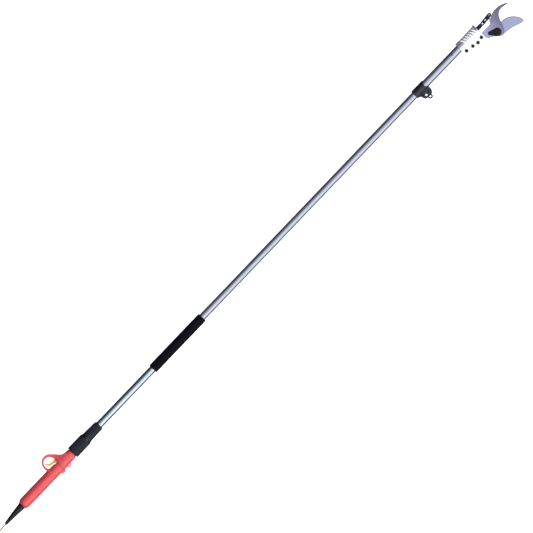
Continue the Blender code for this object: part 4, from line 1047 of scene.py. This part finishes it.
def make_blade():
    """Moving blade: a long bevel ground along its curved edge, a slotted lever behind."""
    pin = Vector((LINK_PIN.x - PIVOT.x, LINK_PIN.y - PIVOT.y))
    edge = smooth_run(in_mm(EDGE_LINE))
    boss = arc(pin, 7.2 * MM, 170, 0, 28)
    side = in_mm([(27.5, 50), (23, 32), (20.5, 20)])
    outline = edge + smooth_run(in_mm(BACK_LINE)) + boss + side
    blade = raised(outline, -1.8, 1.8)
    bmesh.ops.bisect_plane(blade, geom=blade.verts[:] + blade.edges[:] + blade.faces[:],
                           plane_co=(0, 0, 0.5 * MM), plane_no=(0, 0, 1))
    run = [Vector(point) for point in edge]
    for vert in blade.verts:
        if vert.co.z < 1.5 * MM:
            continue
        gaps = [(vert.co.xy - point).length for point in run]
        index = gaps.index(min(gaps))
        if gaps[index] > 1e-5:
            continue
        before, after = run[max(index - 1, 0)], run[min(index + 1, len(run) - 1)]
        along = (after - before).normalized()
        share = min(1.0, index / BEVEL_RUN_OUT, (len(run) - 1 - index) / BEVEL_RUN_OUT)
        vert.co.x += along.y * BEVEL_WIDTH * MM * share
        vert.co.y -= along.x * BEVEL_WIDTH * MM * share
    blade = rounded(cleaned(blade), 0.35, 2, 65)
    inner = pin * ((pin.length - 6.2 * MM) / pin.length)
    outer = pin * ((pin.length + 0.4 * MM) / pin.length)
    slot = raised(capsule(inner, 3.9 * MM, outer, 3.9 * MM), -4, 4)
    blade = cut(blade, disc(0, 0, 6.2, -12, 12), slot)
    made("moving_blade", on_pin(blade, PIVOT), "blade", LOOKS["blade"], ["cutting_blade"])


# ---------------------------------------------------------------- fasteners

def socket_screw(seat, head_radius, head_height, shank_radius, tip, key):
    """Cap screw along Z: mm from the axis level; key is the socket's radius."""
    top = seat + head_height
    soft = min(0.8, head_height * 0.3)
    profile = [(tip, 0), (tip, shank_radius - 0.4), (tip + 0.4, shank_radius), (seat, shank_radius),
               (seat, head_radius - 0.2), (seat + 0.2, head_radius), (top - soft, head_radius),
               (top - soft * 0.3, head_radius - soft * 0.35), (top, head_radius - soft), (top, 0)]
    body = spun(profile, 48, upright=True)
    recess = disc(0, 0, key, top - head_height * 0.55, top + 1, 6)
    return cut(body, recess)


def hex_nut(low, high, radius, bore):
    """Nut from low to high in mm, its edges softened."""
    nut = rounded(disc(0, 0, radius, low, high, 6), 0.5, 2)
    return cut(nut, disc(0, 0, bore, low - 2, high + 2))


# piece, its node, and socket_screw's values
CAP_SCREWS = [
    *((f"housing_screw_{index}_head", f"housing_screw_{index}", 12.3, 6.0, 4.5, 2.4, -14, 3.0)
      for index in range(1, 5)),
    ("clamp_cap_screw", "clamp_screw", 8.35, 4.2, 4.2, 2.2, -11.5, 2.1),
    ("lock_cap_screw", "lock_screw", 10.2, 4.0, 2.4, 2.0, 3, 2.0),
    ("bearing_set_screw", "bearing_screw", 14.5, 2.5, 1.0, 1.1, 12.4, 1.2),
]


def make_fasteners():
    """Every screw, nut and pin that can be seen, apart from the pivot's."""
    for name, node, *sizes in CAP_SCREWS:
        made(name, on_pin(socket_screw(*sizes), middle(node)), "pole", LOOKS["oxide"],
             [node])
    for node in HANDLE_SCREWS:
        low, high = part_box(node)
        seat, top = (low[2] - AXIS_Z) / MM, (high[2] - AXIS_Z) / MM
        screw = spun([(seat + 1.2, 0), (seat + 1.2, 1.1), (seat, 1.5), (seat, 2.5),
                      (seat + 0.3, 2.8), (seat + 2, 2.8), (seat + 2, 1.5), (top, 1.5), (top, 0)],
                     40, upright=True)
        made(f"{node}_turned", on_pin(screw, middle(node)), "handle", LOOKS["oxide"],
             [node])
    made("clamp_hex_nut", on_pin(hex_nut(-12.0, -8.35, 4.4, 2.5), middle("clamp_screw")), "pole",
         LOOKS["oxide"], ["clamp_nut"])
    pin = spun([(-9.4, 0), (-9.4, 2.6), (-8.9, 3.2), (-8.35, 3.2), (-8.35, 2), (8.35, 2),
                (8.35, 3.2), (8.9, 3.2), (9.4, 2.6), (9.4, 0)], 40, upright=True)
    made("hanging_pin", on_pin(pin, HANG_PIN), "pole", LOOKS["oxide"], ["hang_pin"])


def make_pivot():
    """Large bolt with its lock plate above, washer and nut below."""
    profile = [(-8.6, 0), (-8.6, 5.4), (-8.1, 5.9), (10.2, 5.9), (10.2, 12.3), (10.5, 12.5),
               (12.6, 12.5), (13.7, 11.6), (14.4, 9.8), (14.6, 8.6), (14.6, 0)]
    bolt = spun(profile, 96, upright=True)
    bolt = cut(bolt, disc(0, 0, 4.6, 11.4, 16, 6))
    made("pivot_bolt_turned", on_pin(bolt, PIVOT), "pole", LOOKS["oxide"],
         ["pivot_bolt"])
    end = [value * MM for value in LOCK_SCREW]
    plate = rounded(raised(capsule((0, 0), 14.8 * MM, end, 6.8 * MM, 40), 7.4, 9.9), 0.6, 2)
    plate = cut(plate, disc(0, 0, 6.2, 5, 12), disc(*LOCK_SCREW, 2.3, 5, 12))
    made("bolt_lock_plate", on_pin(plate, PIVOT), "pole", LOOKS["oxide"],
         ["lock_plate"])
    washer = spun([(-3.3, 6.2), (-3.3, 11.2), (-3.1, 11.5), (-2.3, 11.5), (-2.1, 11.2),
                   (-2.1, 6.2)], 72, ring=True, upright=True)
    made("pivot_thrust_washer", on_pin(washer, PIVOT), "pole", LOOKS["bright"],
         ["pivot_washer"])
    made("pivot_hex_nut", on_pin(hex_nut(-9, -3.6, 10, 6.2), PIVOT), "pole", LOOKS["oxide"],
         ["pivot_nut"])


# ---------------------------------------------------------------- drive

def make_bar():
    """Square bar with a tongue for its hollow pin, bored for the ball screw."""
    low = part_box("pull_bar")[0]
    rear = (low[0] - BAR_PIN.x) / MM
    side = (BAR_PIN.y - AXIS_Y) / MM
    body = rounded(block((rear, -5.5 - side, -7.5), (-8.3, 9 - side, 7.5)), 0.7)
    tongue = in_mm([(-12, -6.5)]) + arc((0, 0), 6.5 * MM, -90, 90, 28) + in_mm([(-12, 6.5)])
    body = united(body, rounded(raised(tongue, -4, 4), 0.5, 2))
    bore = spun([(rear - 2, 0), (rear - 2, 4.6), (-11.6, 4.6), (-11.6, 0)], 48)
    body = cut(body, disc(0, 0, 4.1, -10, 10), at(bore, (0, -side * MM, 0)))
    made("pull_bar_forged", on_pin(body, BAR_PIN), "drive_bar",
         LOOKS["oxide"], ["pull_bar"])
    pin = spun([(-7.9, 2.4), (-7.9, 3.5), (-7.6, 3.8), (7.6, 3.8), (7.9, 3.5), (7.9, 2.4),
                (7.6, 2.2), (-7.6, 2.2)], 56, ring=True, upright=True)
    made("hollow_bar_pin", on_pin(pin, BAR_PIN), "drive_bar", LOOKS["oxide"],
         ["bar_pin"])


def make_link():
    """Forked link between the bar's pin and the lever's pin."""
    reach = math.hypot(LINK_PIN.x - BAR_PIN.x, LINK_PIN.y - BAR_PIN.y) / MM
    turn = math.atan2(LINK_PIN.y - BAR_PIN.y, LINK_PIN.x - BAR_PIN.x)
    link = rounded(raised(capsule((0, 0), 7.2 * MM, (reach * MM, 0), 7.7 * MM, 32), -7.5, 7.5), 1.0)
    link = cut(
        link,
        block((-10, -10, -4.3), (8.5, 10, 4.3)),
        block((reach - 13, -10, -2.15), (reach + 10, 10, 2.15)),
        raised(capsule((14.6 * MM, 0), 1.5 * MM, (18.4 * MM, 0), 1.5 * MM, 16), -10, 10),
        disc(0, 0, 4.1, -10, 10),
        disc(reach, 0, 3.3, -10, 10),
    )
    bmesh.ops.rotate(link, verts=link.verts, cent=(0, 0, 0), matrix=Matrix.Rotation(turn, 3, "Z"))
    made("forked_link", on_pin(link, BAR_PIN), "link", LOOKS["oxide"],
         ["drive_link"])
    pin = spun([(-8, 0), (-8, 2.6), (-7.6, 3), (7.6, 3), (8, 2.6), (8, 0)], 48, upright=True)
    made("lever_pin", on_pin(pin, LINK_PIN), "link", LOOKS["oxide"],
         ["link_pin"])


INSIDE = {
    "cord_clamp": "black", "control_board": "board", "trigger_switch": "black",
    "trigger_pin": "oxide", "trigger_spring": "oxide", "lock_neck": "black",
    "lock_collet": "acetal", "collar_seal": "rubber", "pole_end_bush": "black",
    "inner_lead": "rubber", "tube_coupler": "tube", "drive_motor": "bright", "gearbox": "bright",
    "screw_bearing": "bright", "ball_screw": "bright", "ball_nut": "bright",
}


def finish_inside():
    """Pieces that keep their shape and get their finish."""
    for name, look in INSIDE.items():
        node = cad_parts[name]
        node.data.materials.clear()
        node.data.materials.append(LOOKS[look])


# ---------------------------------------------------------------- operators

class PRUNER_OT_finishes(Operator):
    """Make every material of the pruner"""

    bl_idname = "pruner.finishes"
    bl_label = "Finishes"

    def execute(self, context):
        make_looks(context.scene.pruner_colours)
        return {"FINISHED"}


class PRUNER_OT_stage(Operator):
    """Add the camera, the lights and the floor"""

    bl_idname = "pruner.stage"
    bl_label = "Stage"

    def execute(self, context):
        make_stage()
        return {"FINISHED"}


class PRUNER_OT_lead(Operator):
    """Lay the battery lead, its coil and its plug"""

    bl_idname = "pruner.lead"
    bl_label = "Battery lead"

    def execute(self, context):
        make_lead(context.scene.pruner_sizes)
        return {"FINISHED"}


class PRUNER_OT_handle(Operator):
    """Mould the handle's halves, the cord boot and the trigger"""

    bl_idname = "pruner.handle"
    bl_label = "Handle, boot and trigger"

    def execute(self, context):
        make_handle(context.scene.pruner_sizes)
        make_boot()
        make_trigger()
        return {"FINISHED"}


class PRUNER_OT_collar(Operator):
    """Make the ribbed twist collar"""

    bl_idname = "pruner.collar"
    bl_label = "Twist collar"

    def execute(self, context):
        make_collar(context.scene.pruner_sizes)
        return {"FINISHED"}


class PRUNER_OT_pole(Operator):
    """Make the telescoping tube, the foam sleeve and the motor tube"""

    bl_idname = "pruner.pole"
    bl_label = "Tubes and foam"

    def execute(self, context):
        make_pole()
        make_foam()
        make_motor_tube()
        return {"FINISHED"}


class PRUNER_OT_clamp(Operator):
    """Make the split clamp and its hanging eye"""

    bl_idname = "pruner.clamp"
    bl_label = "Clamp and eye"

    def execute(self, context):
        make_clamp(context.scene.pruner_sizes)
        make_hang_eye()
        return {"FINISHED"}


class PRUNER_OT_housing(Operator):
    """Cast the two halves of the ribbed drive housing"""

    bl_idname = "pruner.housing"
    bl_label = "Drive housing"

    def execute(self, context):
        make_housing(context.scene.pruner_sizes)
        return {"FINISHED"}


class PRUNER_OT_blades(Operator):
    """Grind the hook and the moving blade, and fit their pivot"""

    bl_idname = "pruner.blades"
    bl_label = "Blades and pivot"

    def execute(self, context):
        make_hook()
        make_blade()
        make_pivot()
        return {"FINISHED"}


class PRUNER_OT_drive(Operator):
    """Make the pull bar, the link and the pieces inside"""

    bl_idname = "pruner.drive"
    bl_label = "Drive"

    def execute(self, context):
        make_bar()
        make_link()
        finish_inside()
        return {"FINISHED"}


class PRUNER_OT_fasteners(Operator):
    """Turn the screws, the nuts and the hanging pin"""

    bl_idname = "pruner.fasteners"
    bl_label = "Fasteners"

    def execute(self, context):
        make_fasteners()
        return {"FINISHED"}


STEPS = (
    PRUNER_OT_finishes, PRUNER_OT_stage, PRUNER_OT_lead, PRUNER_OT_handle, PRUNER_OT_collar,
    PRUNER_OT_pole, PRUNER_OT_clamp, PRUNER_OT_housing, PRUNER_OT_blades, PRUNER_OT_drive,
    PRUNER_OT_fasteners,
)


class PRUNER_PT_panel(Panel):
    """The pruner's steps, in order"""

    bl_label = "Pole pruner"
    bl_idname = "PRUNER_PT_panel"
    bl_space_type = "VIEW_3D"
    bl_region_type = "UI"
    bl_category = "Pruner"

    def draw(self, context):
        for step in STEPS:
            self.layout.operator(step.bl_idname)


CLASSES = (PrunerColours, PrunerSizes, *STEPS, PRUNER_PT_panel)


def register():
    """Register the settings, the steps and the panel."""
    for item in CLASSES:
        bpy.utils.register_class(item)
    bpy.types.Scene.pruner_colours = PointerProperty(type=PrunerColours)
    bpy.types.Scene.pruner_sizes = PointerProperty(type=PrunerSizes)


def unregister():
    """Take them away again."""
    del bpy.types.Scene.pruner_sizes
    del bpy.types.Scene.pruner_colours
    for item in reversed(CLASSES):
        bpy.utils.unregister_class(item)


def main():
    """Run every step in order."""
    register()
    for step in STEPS:
        group, name = step.bl_idname.split(".")
        getattr(getattr(bpy.ops, group), name)()


if __name__ == "__main__":
    main()
